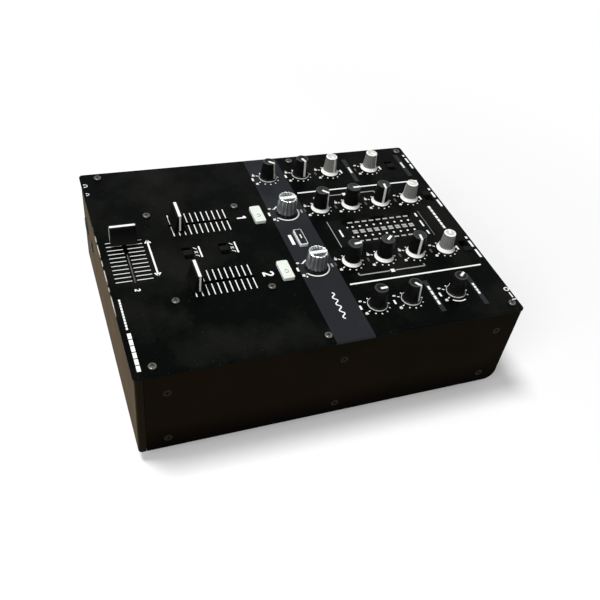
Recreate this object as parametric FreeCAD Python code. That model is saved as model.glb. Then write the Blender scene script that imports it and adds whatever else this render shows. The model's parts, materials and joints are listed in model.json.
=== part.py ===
import FreeCAD, Part
import math
import os

# A two-channel DJ mixer in millimetres: X to the user's right, Y to the back, Z up, table at z = 0.
# Places on the panel are counted from the middle of the top plate; save() then moves every piece so
# that the origin lies under the middle of the whole footprint, sockets included.

# Case
CASE_W = 230.0            # top plate, left to right
CASE_D = 297.0            # top plate, front to back
BODY_H = 79.4             # lower edge of the sides to the top of the plate
FOOT_H = 10.0             # table to the lower edge of the sides
PLATE_T = 2.0
PLATE_CORNER_R = 3.0
PLATE_EDGE = 0.4          # broken edge round the plate's top
SHEET_T = 1.6             # side, front and rear panels
TRAY_T = 1.2              # bottom tray and fader plate
SIDE_INSET = 0.6          # plate's edge beyond the side panels
FRONT_INSET = 1.0         # plate's edge beyond the front panel
REAR_INSET = 2.0          # plate's edge beyond the side panels at the back
PROUD = 1.0               # side panels beyond the tray and the rear panel
FRONT_WRAP = 6.5          # plate's front edge to the seam between front and side panels
SEAM = 0.3                # gap between panel edges that meet
FLANGE_W = 14.0           # folded flanges under the plate and on the tray
CUT_OVER = 1.0            # cutters beyond the piece they cut
SAME = 1e-4               # coordinates closer than this are the same
BEND_R = 2.5              # outside radius of the front panel's bends
CHEEK_R = 9.0             # lower rear corner of the side panels
TRAY_WALL_H = 16.0        # tray's rear wall and side flanges
TAB_H = 18.0              # joining tabs behind the side panels
TAB_L = 24.0

# Feet
FOOT_R = 9.0
FOOT_TIP_R = 8.0
FOOT_EDGE_X = 22.0        # foot axis from the plate's side edge
FOOT_EDGE_Y = 27.0        # foot axis from the plate's front and rear edges
FOOT_RECESS_R = 4.0
FOOT_WEB = 5.0            # rubber left above the screw head's recess

# Screws
SCREW_R = 1.5
SCREW_HEAD_R = 3.0
SCREW_HEAD_H = 1.7
SCREW_END = 2.4           # screw point beyond the last sheet
CROSS_L = 3.2
CROSS_W = 0.8
CROSS_DEPTH = 0.9
HOLE_GAP = 0.2            # radial gap of a clearance hole
THREAD_GAP = 0.05         # radial gap where a screw or a fit holds
CORNER_SCREW_X = 7.7      # top screws from the plate's side edges
CORNER_SCREW_FRONT = 14.1
CORNER_SCREW_REAR = 7.5
MID_SCREW_LEFT_Y = 32.6
MID_SCREW_RIGHT_Y = -11.5
SIDE_SCREW_FRONT = 15.5   # behind the front seam
SIDE_SCREW_MID_Y = 1.2
SIDE_SCREW_REAR = 16.5    # in front of the side panel's rear edge
SIDE_ROW_UP = 20.2        # below the plate's top
SIDE_ROW_LOW = 10.4       # above the side panel's lower edge
BASE_SCREW_X = 80.0       # outer screws of the rows along the tray's front and rear
BASE_SCREW_IN = 8.0       # tray screws from the front panel's inner face
REAR_SCREW_H = 10.0       # rear wall screws above the tray

# Panel layout
CHANNEL_X = 35.3
OUTER_EDGE = 29.5         # outer columns from the plate's side edges
COLOUR_Y = 5.8
LOW_Y = 36.0
TRIM_EDGE = 28.5          # trim knobs from the plate's rear edge
LEVEL_EDGE = 45.7         # level knobs of the outer columns from the plate's rear edge
FADER_Y = -67.7
CROSS_EDGE = 19.3         # crossfader from the plate's front edge
FADER_TRAVEL = 45.0
FADER_1_UP = 5.2          # channel fader 1 above the lower end of its travel
FADER_2_UP = 3.0          # channel fader 2 above the lower end of its travel
CUE_Y = -19.0
INPUT_SWITCH_EDGE = 9.9   # input switches from the plate's rear edge
AUX_EDGE_X = 28.5         # aux switch from the plate's left edge
AUX_EDGE_Y = 23.5         # aux switch from the plate's rear edge
CURVE_SWITCH_Y = (-57.0, -85.3)
FADER_SCREW_X = 50.3
FADER_SCREW_Y = (-34.5, -106.0)

# Knobs and pots
POT_W = 11.0
POT_D = 12.0
POT_H = 6.8
BUSH_R = 3.5
SHAFT_R = 3.0
SHAFT_DIP = 4.0           # shaft inside the pot body
NUT_FLATS = 9.0
NUT_H = 1.6
BUSH_OVER = 0.4           # bush above its nut
KNOB_LIFT = 0.6           # skirt above the plate
SKIRT_RIM = 0.8
SKIRT_H = 1.9
CAVITY_GAP = 0.4          # round the nut inside the knob
KNOB_TOP_WALL = 2.5
KNOB_ROUND = 0.6
POINTER_W = 1.4
POINTER_DEPTH = 0.4
FLUTES = 16               # hollows round the colour knobs
FLUTE_R = 1.5
FLUTE_DEPTH = 0.6
FLUTE_SPARE = 0.1         # cutter beyond each end of a flute, as a share of its length
SCOOP_R = 4.5             # finger hollows beside the ridge on top of the colour knobs
SCOOP_DEPTH = 1.2
SCOOP_X = 3.9

# Faders
LEVER_T = 1.2
LEVER_W = 4.0
SLOT_GAP = 0.4            # round a lever in its slot
FADER_GAP = 6.0           # top plate to fader plate
FADER_PLATE_W = 116.0
FADER_PLATE_EDGE = 11.0   # fader plate beyond the outer fader axes
FRAME_W = 14.0
FRAME_H = 12.0
FRAME_WALL = 1.0
FRAME_SPARE = 2.0         # free length at each end of the travel
CARRIAGE_L = 10.0
CARRIAGE_W = 10.4
CARRIAGE_H = 6.0
ROD_R = 1.5
ROD_SPACING = 6.6
RUN_GAP = 0.06            # carriage and shaft running gaps
CAP_L = 19.5
CAP_BASE_W = 11.0
CAP_TOP_W = 4.6
CAP_H = 15.0              # cap's top above the plate
CAP_LIFT = 1.2            # cap's foot above the plate
CAP_LEVER_IN = 8.0        # lever inside the cap
CAP_LINE_W = 2.1
CAP_LINE_DEPTH = 0.5
CAP_ROUND = 0.8
CAP_WAIST = 0.25          # waist at half height, as a share of the way from tip to foot

# Slide switches
LEVER_NUB_L = 5.0
LEVER_NUB_W = 6.4
NUB_PROUD = 0.8
SLIDER_L = 9.0
SLIDER_W = 6.8
SLIDER_H = 1.4
SWITCH_STEP = 4.0         # middle to either end position
SWITCH_GAP = 0.2
SWITCH_WALL = 0.8
SWITCH_DEPTH = 4.2        # cavity depth below the switch body's top

# Buttons
CUE_W = 20.5
CUE_D = 9.0
FILTER_W = 19.5
FILTER_D = 7.0
BUTTON_PROUD = 2.6
BUTTON_TRAVEL = 1.2
BUTTON_R = 1.2
BUTTON_GAP = 0.25
LIP_W = 1.5
LIP_H = 1.0
LIP_GAP = 0.1
STEM_R = 2.5
PLUNGER_R = 1.7
PLUNGER_L = 3.2
TACT_W = 6.2
TACT_H = 3.5
TACT_FLOOR = 0.8

# Level meter
METER_W = 33.2
METER_D = 84.8
METER_OFF = 0.7           # meter in front of the middle of the knob columns
METER_LIP = 2.0
METER_LIP_H = 1.2
METER_GAP = 0.1
LED_ROWS = 9
LED_PITCH = 6.45
LED_OFF = 2.5             # lights behind the meter's middle
LED_L = 4.2
LED_CHANNEL_X = 12.15
LED_CHANNEL_W = 1.6
LED_MASTER_X = 1.2
LED_MASTER_W = 1.9
LED_H = 1.6
GUIDE_GAP = 0.05

# Boards
BOARD_T = 1.6
BOARD_DROP = 14.0         # top plate to control board
BOARD_EDGE_X = 11.0       # board edge from the plate's side edge
BOARD_FRONT = 9.0         # board in front of the cue buttons
BOARD_REAR = 2.0          # board edge from the rear panel
PILLAR_R = 2.75
PILLAR_X = 60.0
PILLAR_FRONT_Y = -18.0
PILLAR_MID_Y = 50.0
STUD_L = 2.4
SPACER_R = 3.0

# Front jacks: large 6.35 mm and mini 3.5 mm
JACK_Z = 40.0             # below the plate's top
LARGE_EDGE = 16.0         # large jack from the plate's left edge
JACK_PITCH = 28.0         # large jack to mini jack
LARGE_BORE_R = 3.2
LARGE_BARREL_R = 4.8
LARGE_NUT_R = 7.0
LARGE_BODY = 14.0
LARGE_BODY_L = 24.0
MINI_BORE_R = 1.8
MINI_BARREL_R = 3.0
MINI_NUT_R = 4.6
MINI_BODY = 8.0
MINI_BODY_L = 15.0
JACK_NUT_T = 0.8
JACK_END_WALL = 2.0

# Rear sockets, placed by height above the lower edge of the sides
RCA_COLUMNS = 7
RCA_TO_GROUND = 12.0      # first column from the ground stud
RCA_TO_XLR = 20.0         # last column from the first three-pin socket
RCA_ROWS = (28.0, 44.0)
RCA_R = 4.15
RCA_BORE_R = 1.65
RCA_INSERT_R = 3.4
RCA_INSERT_IN = 0.6       # insert's face behind the sleeve's rim
RCA_SLEEVE = 9.3          # sleeve beyond the rear panel
RCA_COLLAR_R = 5.2
RCA_COLLAR_T = 1.2
RCA_BODY_W = 12.0
RCA_BODY_H = 13.0
RCA_BODY_L = 10.0
XLR_TO_INLET = 26.5       # second three-pin socket from the mains inlet
XLR_PITCH = 27.5
XLR_Z = 37.0
XLR_W = 26.0
XLR_H = 31.0
XLR_CORNER_R = 3.0
XLR_FLANGE_T = 2.0
XLR_BARREL_R = 11.8
XLR_RECESS_R = 9.6
XLR_RECESS = 16.0
XLR_FLOOR = 4.0
XLR_PIN_R = 1.2
XLR_PIN_CIRCLE_R = 4.1
XLR_PIN_L = 12.0
XLR_SCREW_X = 9.5
XLR_SCREW_Z = 12.0
MIC_EDGE = 16.0           # microphone jack from the plate's left edge
MIC_Z = 30.0
USB_EDGE = 23.0           # data port from the plate's left edge
USB_Z = 50.0
USB_W = 12.0
USB_H = 11.0
USB_L = 16.0
USB_MOUTH_W = 8.6
USB_MOUTH_H = 7.9
USB_MOUTH_L = 10.0
USB_TONGUE_W = 5.6
USB_TONGUE_H = 3.2
USB_TONGUE_L = 8.0
INLET_EDGE = 17.0         # mains inlet and switch from the plate's right edge
INLET_Z = 27.0
INLET_W = 21.0
INLET_H = 12.0
INLET_L = 17.0
INLET_FLANGE = 1.5
INLET_MOUTH_W = 15.0
INLET_MOUTH_H = 7.8
INLET_MOUTH_L = 12.0
INLET_PIN_R = 1.2
INLET_PIN_X = 4.3
INLET_PIN_L = 10.0
ROCKER_Z = 47.0
ROCKER_W = 9.6
ROCKER_L = 17.0           # rocker from tip to tip
ROCKER_TILT = 8.0         # degrees either side of level
ROCKER_RISE = 1.2         # tips above the rocker's middle
ROCKER_AXIS_IN = 1.0      # rocker's axis behind the rear panel's face
ROCKER_BELLY = 3.6        # rocker's depth below its axis
ROCKER_GAP = 0.5
ROCKER_WALL = 1.8
HOUSING_L = 14.0
HOUSING_FLANGE = 1.5
HOUSING_RIM = 1.4
GROUND_EDGE = 31.0        # ground stud from the plate's left edge
GROUND_Z = 24.0
GROUND_STUD_R = 2.0
GROUND_NUT_R = 4.5
GROUND_NUT_T = 5.0
GROUND_L = 8.0            # stud beyond the rear panel
GROUND_BASE = 5.0         # insulator behind the rear panel
JACK_BOARD_EDGE = 8.0     # board beyond the outer phono sockets
JACK_BOARD_TOP_GAP = 4.0
RIBBON_W = 20.0
RIBBON_T = 1.2
RIBBON_RUN = 20.0
RIBBON_DROP = 12.0
PSU_EDGE_X = 49.0         # power supply's middle from the plate's right edge
PSU_EDGE_Y = 78.5         # power supply's middle from the plate's rear edge
PSU_W = 74.0
PSU_D = 78.0
PSU_LIFT = 6.0
PSU_POST_R = 3.0
PSU_POST_IN = 5.0
TRANSFORMER_W = 38.0
TRANSFORMER_D = 32.0
TRANSFORMER_H = 26.0
CAPACITOR_R = 8.0
CAPACITOR_H = 22.0
CAPACITOR_PITCH = 20.0

# Worked-out places
X_OUT = CASE_W / 2 - SIDE_INSET
X_IN = X_OUT - SHEET_T
Y_FRONT = -CASE_D / 2 + FRONT_INSET
Y_FRONT_IN = Y_FRONT + SHEET_T
Y_SEAM = -CASE_D / 2 + FRONT_WRAP
Y_CHEEK = CASE_D / 2 - REAR_INSET
Y_REAR = Y_CHEEK - PROUD
Y_REAR_IN = Y_REAR - SHEET_T
Z_BASE = FOOT_H
Z_TRAY = Z_BASE + PROUD
Z_FLOOR = Z_TRAY + TRAY_T
Z_TOP = FOOT_H + BODY_H
Z_UNDER = Z_TOP - PLATE_T
Z_BOARD = Z_UNDER - BOARD_DROP
Z_BOARD_LOW = Z_BOARD - BOARD_T
Z_FADER_PLATE = Z_UNDER - FADER_GAP
Z_FRAME = Z_FADER_PLATE - TRAY_T
Z_SIDE_UP = Z_TOP - SIDE_ROW_UP
Z_SIDE_LOW = Z_BASE + SIDE_ROW_LOW
FLANGE_EDGE = X_OUT - FLANGE_W - SEAM
OUTER_X = CASE_W / 2 - OUTER_EDGE
TRIM_Y = CASE_D / 2 - TRIM_EDGE
EQ_PITCH = (TRIM_Y - LOW_Y) / 3
LEVEL_Y = CASE_D / 2 - LEVEL_EDGE
CROSS_Y = CROSS_EDGE - CASE_D / 2
INPUT_SWITCH_Y = CASE_D / 2 - INPUT_SWITCH_EDGE
AUX_SWITCH_X = AUX_EDGE_X - CASE_W / 2
AUX_SWITCH_Y = CASE_D / 2 - AUX_EDGE_Y
METER_Y = (LOW_Y + TRIM_Y) / 2 - METER_OFF
LED_MID_Y = METER_Y + LED_OFF
PILLAR_Y = (PILLAR_FRONT_Y, PILLAR_MID_Y, TRIM_Y)
LARGE_X = LARGE_EDGE - CASE_W / 2
MINI_X = LARGE_X + JACK_PITCH
MIC_X = MIC_EDGE - CASE_W / 2
USB_X = USB_EDGE - CASE_W / 2
GROUND_X = GROUND_EDGE - CASE_W / 2
INLET_X = CASE_W / 2 - INLET_EDGE
ROCKER_X = INLET_X
XLR_X = (INLET_X - XLR_TO_INLET - XLR_PITCH, INLET_X - XLR_TO_INLET)
RCA_FIRST_X = GROUND_X + RCA_TO_GROUND
RCA_PITCH = (XLR_X[0] - RCA_TO_XLR - RCA_FIRST_X) / (RCA_COLUMNS - 1)
PSU_X = CASE_W / 2 - PSU_EDGE_X
PSU_Y = CASE_D / 2 - PSU_EDGE_Y
FOOTPRINT_MID_Y = (Y_REAR + RCA_SLEEVE - CASE_D / 2) / 2
HOLE_R = SCREW_R + HOLE_GAP
THREAD_R = SCREW_R + THREAD_GAP
UP = FreeCAD.Vector(0, 0, 1)
DOWN = FreeCAD.Vector(0, 0, -1)
RIGHT = FreeCAD.Vector(1, 0, 0)
LEFT = FreeCAD.Vector(-1, 0, 0)
BACK = FreeCAD.Vector(0, 1, 0)
FORWARD = FreeCAD.Vector(0, -1, 0)
ORIGIN = FreeCAD.Vector(0, 0, 0)

# Knob kinds: height above the plate, top radius, radius above the skirt, skirt radius
GREY_KNOB = (16.4, 4.9, 6.3, 7.7)
EQ_KNOB = (18.5, 5.8, 6.5, 7.9)
BLACK_KNOB = (17.0, 5.2, 6.4, 7.7)
COLOUR_KNOB = (15.5, 7.6, 8.6, 9.0)

# Knobs of the outer columns: node, place, kind and pointer angle clockwise from straight back
KNOBS = [
    ("knob_aux_level", -OUTER_X, LEVEL_Y, GREY_KNOB, 43.0),
    ("knob_mic_level", -OUTER_X, LOW_Y + EQ_PITCH, GREY_KNOB, 72.0),
    ("knob_mic_high", -OUTER_X, LOW_Y, BLACK_KNOB, 77.0),
    ("knob_mic_low", -OUTER_X, COLOUR_Y, BLACK_KNOB, 45.0),
    ("knob_master_level", OUTER_X, LEVEL_Y, BLACK_KNOB, -38.0),
    ("knob_phones_mix", OUTER_X, LOW_Y + EQ_PITCH, BLACK_KNOB, 58.0),
    ("knob_phones_level", OUTER_X, LOW_Y, BLACK_KNOB, 0.0),
]

# Channel strips from back to front, with the pointer angles of channels 1 and 2
STRIP = [
    ("trim", TRIM_Y, GREY_KNOB, (-150.0, -70.0)),
    ("high", LOW_Y + 2 * EQ_PITCH, EQ_KNOB, (97.0, 100.0)),
    ("mid", LOW_Y + EQ_PITCH, EQ_KNOB, (0.0, -40.0)),
    ("low", LOW_Y, EQ_KNOB, (49.0, -5.0)),
    ("colour", COLOUR_Y, COLOUR_KNOB, (0.0, 0.0)),
]
CHANNELS = (("1", -CHANNEL_X), ("2", CHANNEL_X))
for order, (name, column) in enumerate(CHANNELS):
    for word, row, kind, angles in STRIP:
        KNOBS.append(("knob_%s_%s" % (word, name), column, row, kind, angles[order]))

# Faders: node stem, middle of the travel, travel direction and place along it at rest
FADERS = [
    ("channel_fader_1", -CHANNEL_X, FADER_Y, 90.0, FADER_1_UP - FADER_TRAVEL / 2),
    ("channel_fader_2", CHANNEL_X, FADER_Y, 90.0, FADER_2_UP - FADER_TRAVEL / 2),
    ("crossfader", 0.0, CROSS_Y, 0.0, -FADER_TRAVEL / 2),
]

# Slide switches: node, place, place of the lever along X at rest, surface that carries the body
SWITCHES = [
    ("input_switch_1", -CHANNEL_X, INPUT_SWITCH_Y, -SWITCH_STEP, Z_BOARD),
    ("input_switch_2", CHANNEL_X, INPUT_SWITCH_Y, SWITCH_STEP, Z_BOARD),
    ("aux_switch", AUX_SWITCH_X, AUX_SWITCH_Y, 0.0, Z_BOARD),
    ("channel_curve_switch", 0.0, CURVE_SWITCH_Y[0], 0.0, Z_FADER_PLATE),
    ("cross_curve_switch", 0.0, CURVE_SWITCH_Y[1], 0.0, Z_FADER_PLATE),
]

# Buttons: node, place and size of the cap
BUTTONS = [
    ("cue_button_1", -CHANNEL_X, CUE_Y, CUE_W, CUE_D),
    ("cue_button_2", CHANNEL_X, CUE_Y, CUE_W, CUE_D),
    ("filter_button", 0.0, COLOUR_Y, FILTER_W, FILTER_D),
]


def block(x0, x1, y0, y1, z0, z1):
    """Box between two corners."""
    return Part.makeBox(x1 - x0, y1 - y0, z1 - z0, FreeCAD.Vector(x0, y0, z0))


def centred(x, y, z0, z1, width, depth):
    """Upright box round a vertical axis."""
    return block(x - width / 2, x + width / 2, y - depth / 2, y + depth / 2, z0, z1)


def drum(x, y, z, radius, length, axis=UP):
    """Cylinder from a point along an axis."""
    return Part.makeCylinder(radius, length, FreeCAD.Vector(x, y, z), axis)


def upright_edges(shape):
    """Edges that run straight up."""
    found = []
    for edge in shape.Edges:
        along = edge.Vertexes[-1].Point - edge.Vertexes[0].Point
        if along.Length > 0 and abs(abs(along.z) - along.Length) < SAME:
            found.append(edge)
    return found


def edges_at(shape, axis, value):
    """Edges that lie wholly in the plane where one coordinate (x, y or z) has this value."""
    found = []
    for edge in shape.Edges:
        low = getattr(edge.BoundBox, axis + "Min")
        high = getattr(edge.BoundBox, axis + "Max")
        if abs(low - value) < SAME and abs(high - value) < SAME:
            found.append(edge)
    return found


def slab(x, y, z0, z1, width, depth, radius):
    """Upright box with rounded upright edges."""
    shape = centred(x, y, z0, z1, width, depth)
    return shape.makeFillet(radius, upright_edges(shape))


def turned(points):
    """Solid of revolution round Z from an outline of radius and height."""
    outline = [FreeCAD.Vector(radius, 0, height) for radius, height in points]
    outline.append(outline[0])
    return Part.Face(Part.makePolygon(outline)).revolve(ORIGIN, UP, 360)


def joined(shapes):
    """One solid made of pieces that meet."""
    return shapes[0].fuse(shapes[1:]).removeSplitter()


def placed(shape, point, out=UP):
    """Copy of a shape made along +Z from the origin, set at a point with +Z turned to a direction."""
    copy = shape.copy()
    copy.Placement = FreeCAD.Placement(FreeCAD.Vector(*point), FreeCAD.Rotation(UP, out))
    return copy


def moved(shape, x, y, z=0.0, turn=0.0):
    """Copy of a shape turned about Z and moved."""
    copy = shape.copy()
    copy.Placement = FreeCAD.Placement(FreeCAD.Vector(x, y, z), FreeCAD.Rotation(UP, turn))
    return copy


def save(node, solids):
    """Write a node's solids, counted from the middle of the footprint."""
    shape = Part.makeCompound(solids)
    shape.translate(FreeCAD.Vector(0, -FOOTPRINT_MID_Y, 0))
    shape.exportStep("parts/%s.step" % node)


# Screws

def cross_recess(height):
    """Cutter for a cross recess below a head's top."""
    low = height - CROSS_DEPTH
    bars = [centred(0, 0, low, height, CROSS_L, CROSS_W), centred(0, 0, low, height, CROSS_W, CROSS_L)]
    return joined(bars)


def pan_screw(length):
    """Pan head screw whose head stands on z = 0."""
    head = drum(0, 0, 0, SCREW_HEAD_R, SCREW_HEAD_H)
    head = head.makeFillet(SCREW_HEAD_H / 2, edges_at(head, "Z", SCREW_HEAD_H))
    head = head.cut(cross_recess(SCREW_HEAD_H))
    return joined([head, drum(0, 0, 0, SCREW_R, length, DOWN)])


def sunk_screw(length):
    """Countersunk screw whose flat head lies in z = 0."""
    cone_h = SCREW_HEAD_R - SCREW_R
    shape = turned([(0, 0), (SCREW_HEAD_R, 0), (SCREW_R, -cone_h), (SCREW_R, -length), (0, -length)])
    return shape.cut(cross_recess(0.0))


def sunk_hole(length):
    """Cutter for a countersunk screw's hole."""
    wide = SCREW_HEAD_R + THREAD_GAP
    cone_h = wide - HOLE_R
    return turned([(0, 0), (wide, 0), (HOLE_R, -cone_h), (HOLE_R, -length), (0, -length)])


def top_screw_places():
    """Places of the screws that hold the plate to the side flanges."""
    edge = CASE_W / 2 - CORNER_SCREW_X
    front = -CASE_D / 2 + CORNER_SCREW_FRONT
    rear = CASE_D / 2 - CORNER_SCREW_REAR
    corners = [(-edge, front), (edge, front), (-edge, rear), (edge, rear)]
    return corners + [(-edge, MID_SCREW_LEFT_Y), (edge, MID_SCREW_RIGHT_Y)]


def fader_screw_places():
    """Places of the screws that hold the fader plate."""
    return [(x, y) for x in (-FADER_SCREW_X, FADER_SCREW_X) for y in FADER_SCREW_Y]


def side_screw_places():
    """Places along Y and Z of the countersunk screws in one side."""
    columns = (Y_SEAM + SIDE_SCREW_FRONT, SIDE_SCREW_MID_Y, Y_CHEEK - SIDE_SCREW_REAR)
    return [(y, z) for y in columns for z in (Z_SIDE_UP, Z_SIDE_LOW)]


def foot_places():
    """Axes of the four feet."""
    x = CASE_W / 2 - FOOT_EDGE_X
    y = CASE_D / 2 - FOOT_EDGE_Y
    return [(-x, -y), (x, -y), (-x, y), (x, y)]


def base_screw_xs():
    """Places along X of the screws along the tray's front and rear."""
    return (-BASE_SCREW_X, 0.0, BASE_SCREW_X)


def make_screws():
    """All the screws, grouped by head."""
    pan = []
    top = pan_screw(PLATE_T + SHEET_T + SCREW_END)
    pan += [placed(top, (x, y, Z_TOP)) for x, y in top_screw_places()]
    fader = pan_screw(PLATE_T + FADER_GAP + TRAY_T + SCREW_END)
    pan += [placed(fader, (x, y, Z_TOP)) for x, y in fader_screw_places()]
    foot = pan_screw(FOOT_WEB + TRAY_T + SCREW_END)
    pan += [placed(foot, (x, y, Z_TRAY - FOOT_WEB), DOWN) for x, y in foot_places()]
    sheet = pan_screw(TRAY_T + SHEET_T + SCREW_END)
    pan += [placed(sheet, (x, Y_FRONT_IN + BASE_SCREW_IN, Z_TRAY), DOWN) for x in base_screw_xs()]
    pan += [placed(sheet, (x, Y_REAR, Z_TRAY + REAR_SCREW_H), BACK) for x in base_screw_xs()]
    save("pan_head_screws", pan)
    side = sunk_screw(2 * SHEET_T + SCREW_END)
    sunk = [placed(side, (X_OUT, y, z), RIGHT) for y, z in side_screw_places()]
    sunk += [placed(side, (-X_OUT, y, z), LEFT) for y, z in side_screw_places()]
    socket = sunk_screw(XLR_FLANGE_T + SHEET_T + SCREW_END)
    sunk += [placed(socket, (x, Y_REAR + XLR_FLANGE_T, z), BACK) for x, z in xlr_screw_places()]
    save("countersunk_screws", sunk)


# Case

def make_top_panel():
    """Flat plate with the openings of every control."""
    plate = slab(0, 0, Z_UNDER, Z_TOP, CASE_W, CASE_D, PLATE_CORNER_R)
    plate = plate.makeChamfer(PLATE_EDGE, edges_at(plate, "Z", Z_TOP))
    tools = [drum(x, y, Z_UNDER, HOLE_R, PLATE_T) for x, y in top_screw_places() + fader_screw_places()]
    tools += [drum(x, y, Z_UNDER, BUSH_R + HOLE_GAP, PLATE_T) for _, x, y, _, _ in KNOBS]
    for _, x, y, turn, _ in FADERS:
        tools.append(moved(lever_slot(PLATE_T), x, y, Z_UNDER, turn))
    window_l = LEVER_NUB_L + 2 * (SWITCH_STEP + SWITCH_GAP)
    for _, x, y, _, _ in SWITCHES:
        tools.append(centred(x, y, Z_UNDER, Z_TOP, window_l, LEVER_NUB_W + 2 * SWITCH_GAP))
    for _, x, y, width, depth in BUTTONS:
        gap = 2 * BUTTON_GAP
        tools.append(slab(x, y, Z_UNDER, Z_TOP, width + gap, depth + gap, BUTTON_R + BUTTON_GAP))
    tools.append(centred(0, METER_Y, Z_UNDER, Z_TOP, METER_W, METER_D))
    save("top_panel", [plate.cut(tools)])


def make_side_panel(node, side):
    """Side sheet with a flange under the plate and a rounded lower rear corner; side is -1 or 1."""
    out = RIGHT if side > 0 else LEFT
    x_in, x_out = sorted((side * X_IN, side * X_OUT))
    sheet = block(x_in, x_out, Y_SEAM + SEAM, Y_CHEEK, Z_BASE, Z_UNDER)
    corner = [e for e in edges_at(sheet, "Y", Y_CHEEK) if e.BoundBox.ZMax < Z_BASE + SAME]
    sheet = sheet.makeFillet(CHEEK_R, corner)
    x_low, x_high = sorted((side * (X_OUT - FLANGE_W), side * X_OUT))
    flange = block(x_low, x_high, Y_SEAM + SEAM, Y_CHEEK, Z_UNDER - SHEET_T, Z_UNDER)
    panel = joined([sheet, flange])
    hole = sunk_hole(SHEET_T)
    tools = [placed(hole, (side * X_OUT, y, z), out) for y, z in side_screw_places()]
    for x, y in top_screw_places():
        if x * side > 0:
            tools.append(drum(x, y, Z_UNDER - SHEET_T, THREAD_R, SHEET_T))
    save(node, [panel.cut(tools)])


def side_tabs(y0, y1):
    """Two tabs behind the side panels with holes for the upper row of side screws."""
    tabs = []
    for side in (-1, 1):
        x0, x1 = sorted((side * X_IN, side * (X_IN - SHEET_T)))
        tab = block(x0, x1, y0, y1, Z_SIDE_UP - TAB_H / 2, Z_SIDE_UP + TAB_H / 2)
        holes = [drum(x0, y, Z_SIDE_UP, THREAD_R, SHEET_T, RIGHT) for y, z in side_screw_places()]
        tabs.append(tab.cut(holes))
    return tabs


def make_front_panel():
    """Folded front sheet with round bends, short returns, tabs behind the sides and two flanges."""
    y_back = Y_FRONT + FLANGE_W
    outer = block(-X_OUT, X_OUT, Y_FRONT, y_back, Z_BASE, Z_UNDER)
    front_edges = [e for e in edges_at(outer, "Y", Y_FRONT) if e.BoundBox.ZMax > Z_BASE + SAME]
    outer = outer.makeFillet(BEND_R, front_edges)
    inner = block(-X_IN, X_IN, Y_FRONT_IN, y_back + CUT_OVER, Z_BASE - CUT_OVER, Z_UNDER - SHEET_T)
    panel = outer.cut(inner)
    corners = [block(FLANGE_EDGE, X_OUT, Y_SEAM, y_back, Z_BASE, Z_UNDER)]
    corners.append(block(-X_OUT, -FLANGE_EDGE, Y_SEAM, y_back, Z_BASE, Z_UNDER))
    panel = panel.cut(corners)
    edge = X_IN - 2 * TRAY_T
    z_low = Z_FLOOR
    lower = block(-edge, edge, Y_FRONT_IN - SHEET_T / 2, y_back, z_low, z_low + SHEET_T)
    holes = [drum(x, Y_FRONT_IN + BASE_SCREW_IN, z_low, THREAD_R, SHEET_T) for x in base_screw_xs()]
    tabs = side_tabs(Y_FRONT_IN, Y_SEAM + TAB_L)
    panel = joined([panel, lower.cut(holes)] + tabs)
    z_jack = Z_TOP - JACK_Z
    holes = [drum(LARGE_X, Y_FRONT, z_jack, LARGE_BARREL_R + HOLE_GAP, SHEET_T, BACK)]
    holes.append(drum(MINI_X, Y_FRONT, z_jack, MINI_BARREL_R + HOLE_GAP, SHEET_T, BACK))
    save("front_panel", [panel.cut(holes)])


def make_rear_panel():
    """Rear sheet with the sockets' openings, tabs behind the sides and a tab behind the tray's wall."""
    z_seam = Z_TRAY + TRAY_WALL_H + SEAM
    sheet = block(-X_IN, X_IN, Y_REAR_IN, Y_REAR, z_seam, Z_UNDER - SHEET_T - SEAM)
    crown = block(-FLANGE_EDGE, FLANGE_EDGE, Y_REAR_IN, Y_REAR, z_seam, Z_UNDER)
    y_tab = Y_REAR - TRAY_T
    z_tab = Z_TRAY + CHEEK_R - PROUD
    x_tab = X_IN - FLANGE_W
    lower = block(-x_tab, x_tab, y_tab - SHEET_T, y_tab, z_tab, z_seam + SHEET_T)
    holes = [drum(x, y_tab, Z_TRAY + REAR_SCREW_H, THREAD_R, SHEET_T, FORWARD) for x in base_screw_xs()]
    panel = joined([sheet, crown, lower.cut(holes)] + side_tabs(Y_CHEEK - TAB_L, Y_REAR_IN))
    save("rear_panel", [panel.cut(rear_openings())])


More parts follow.
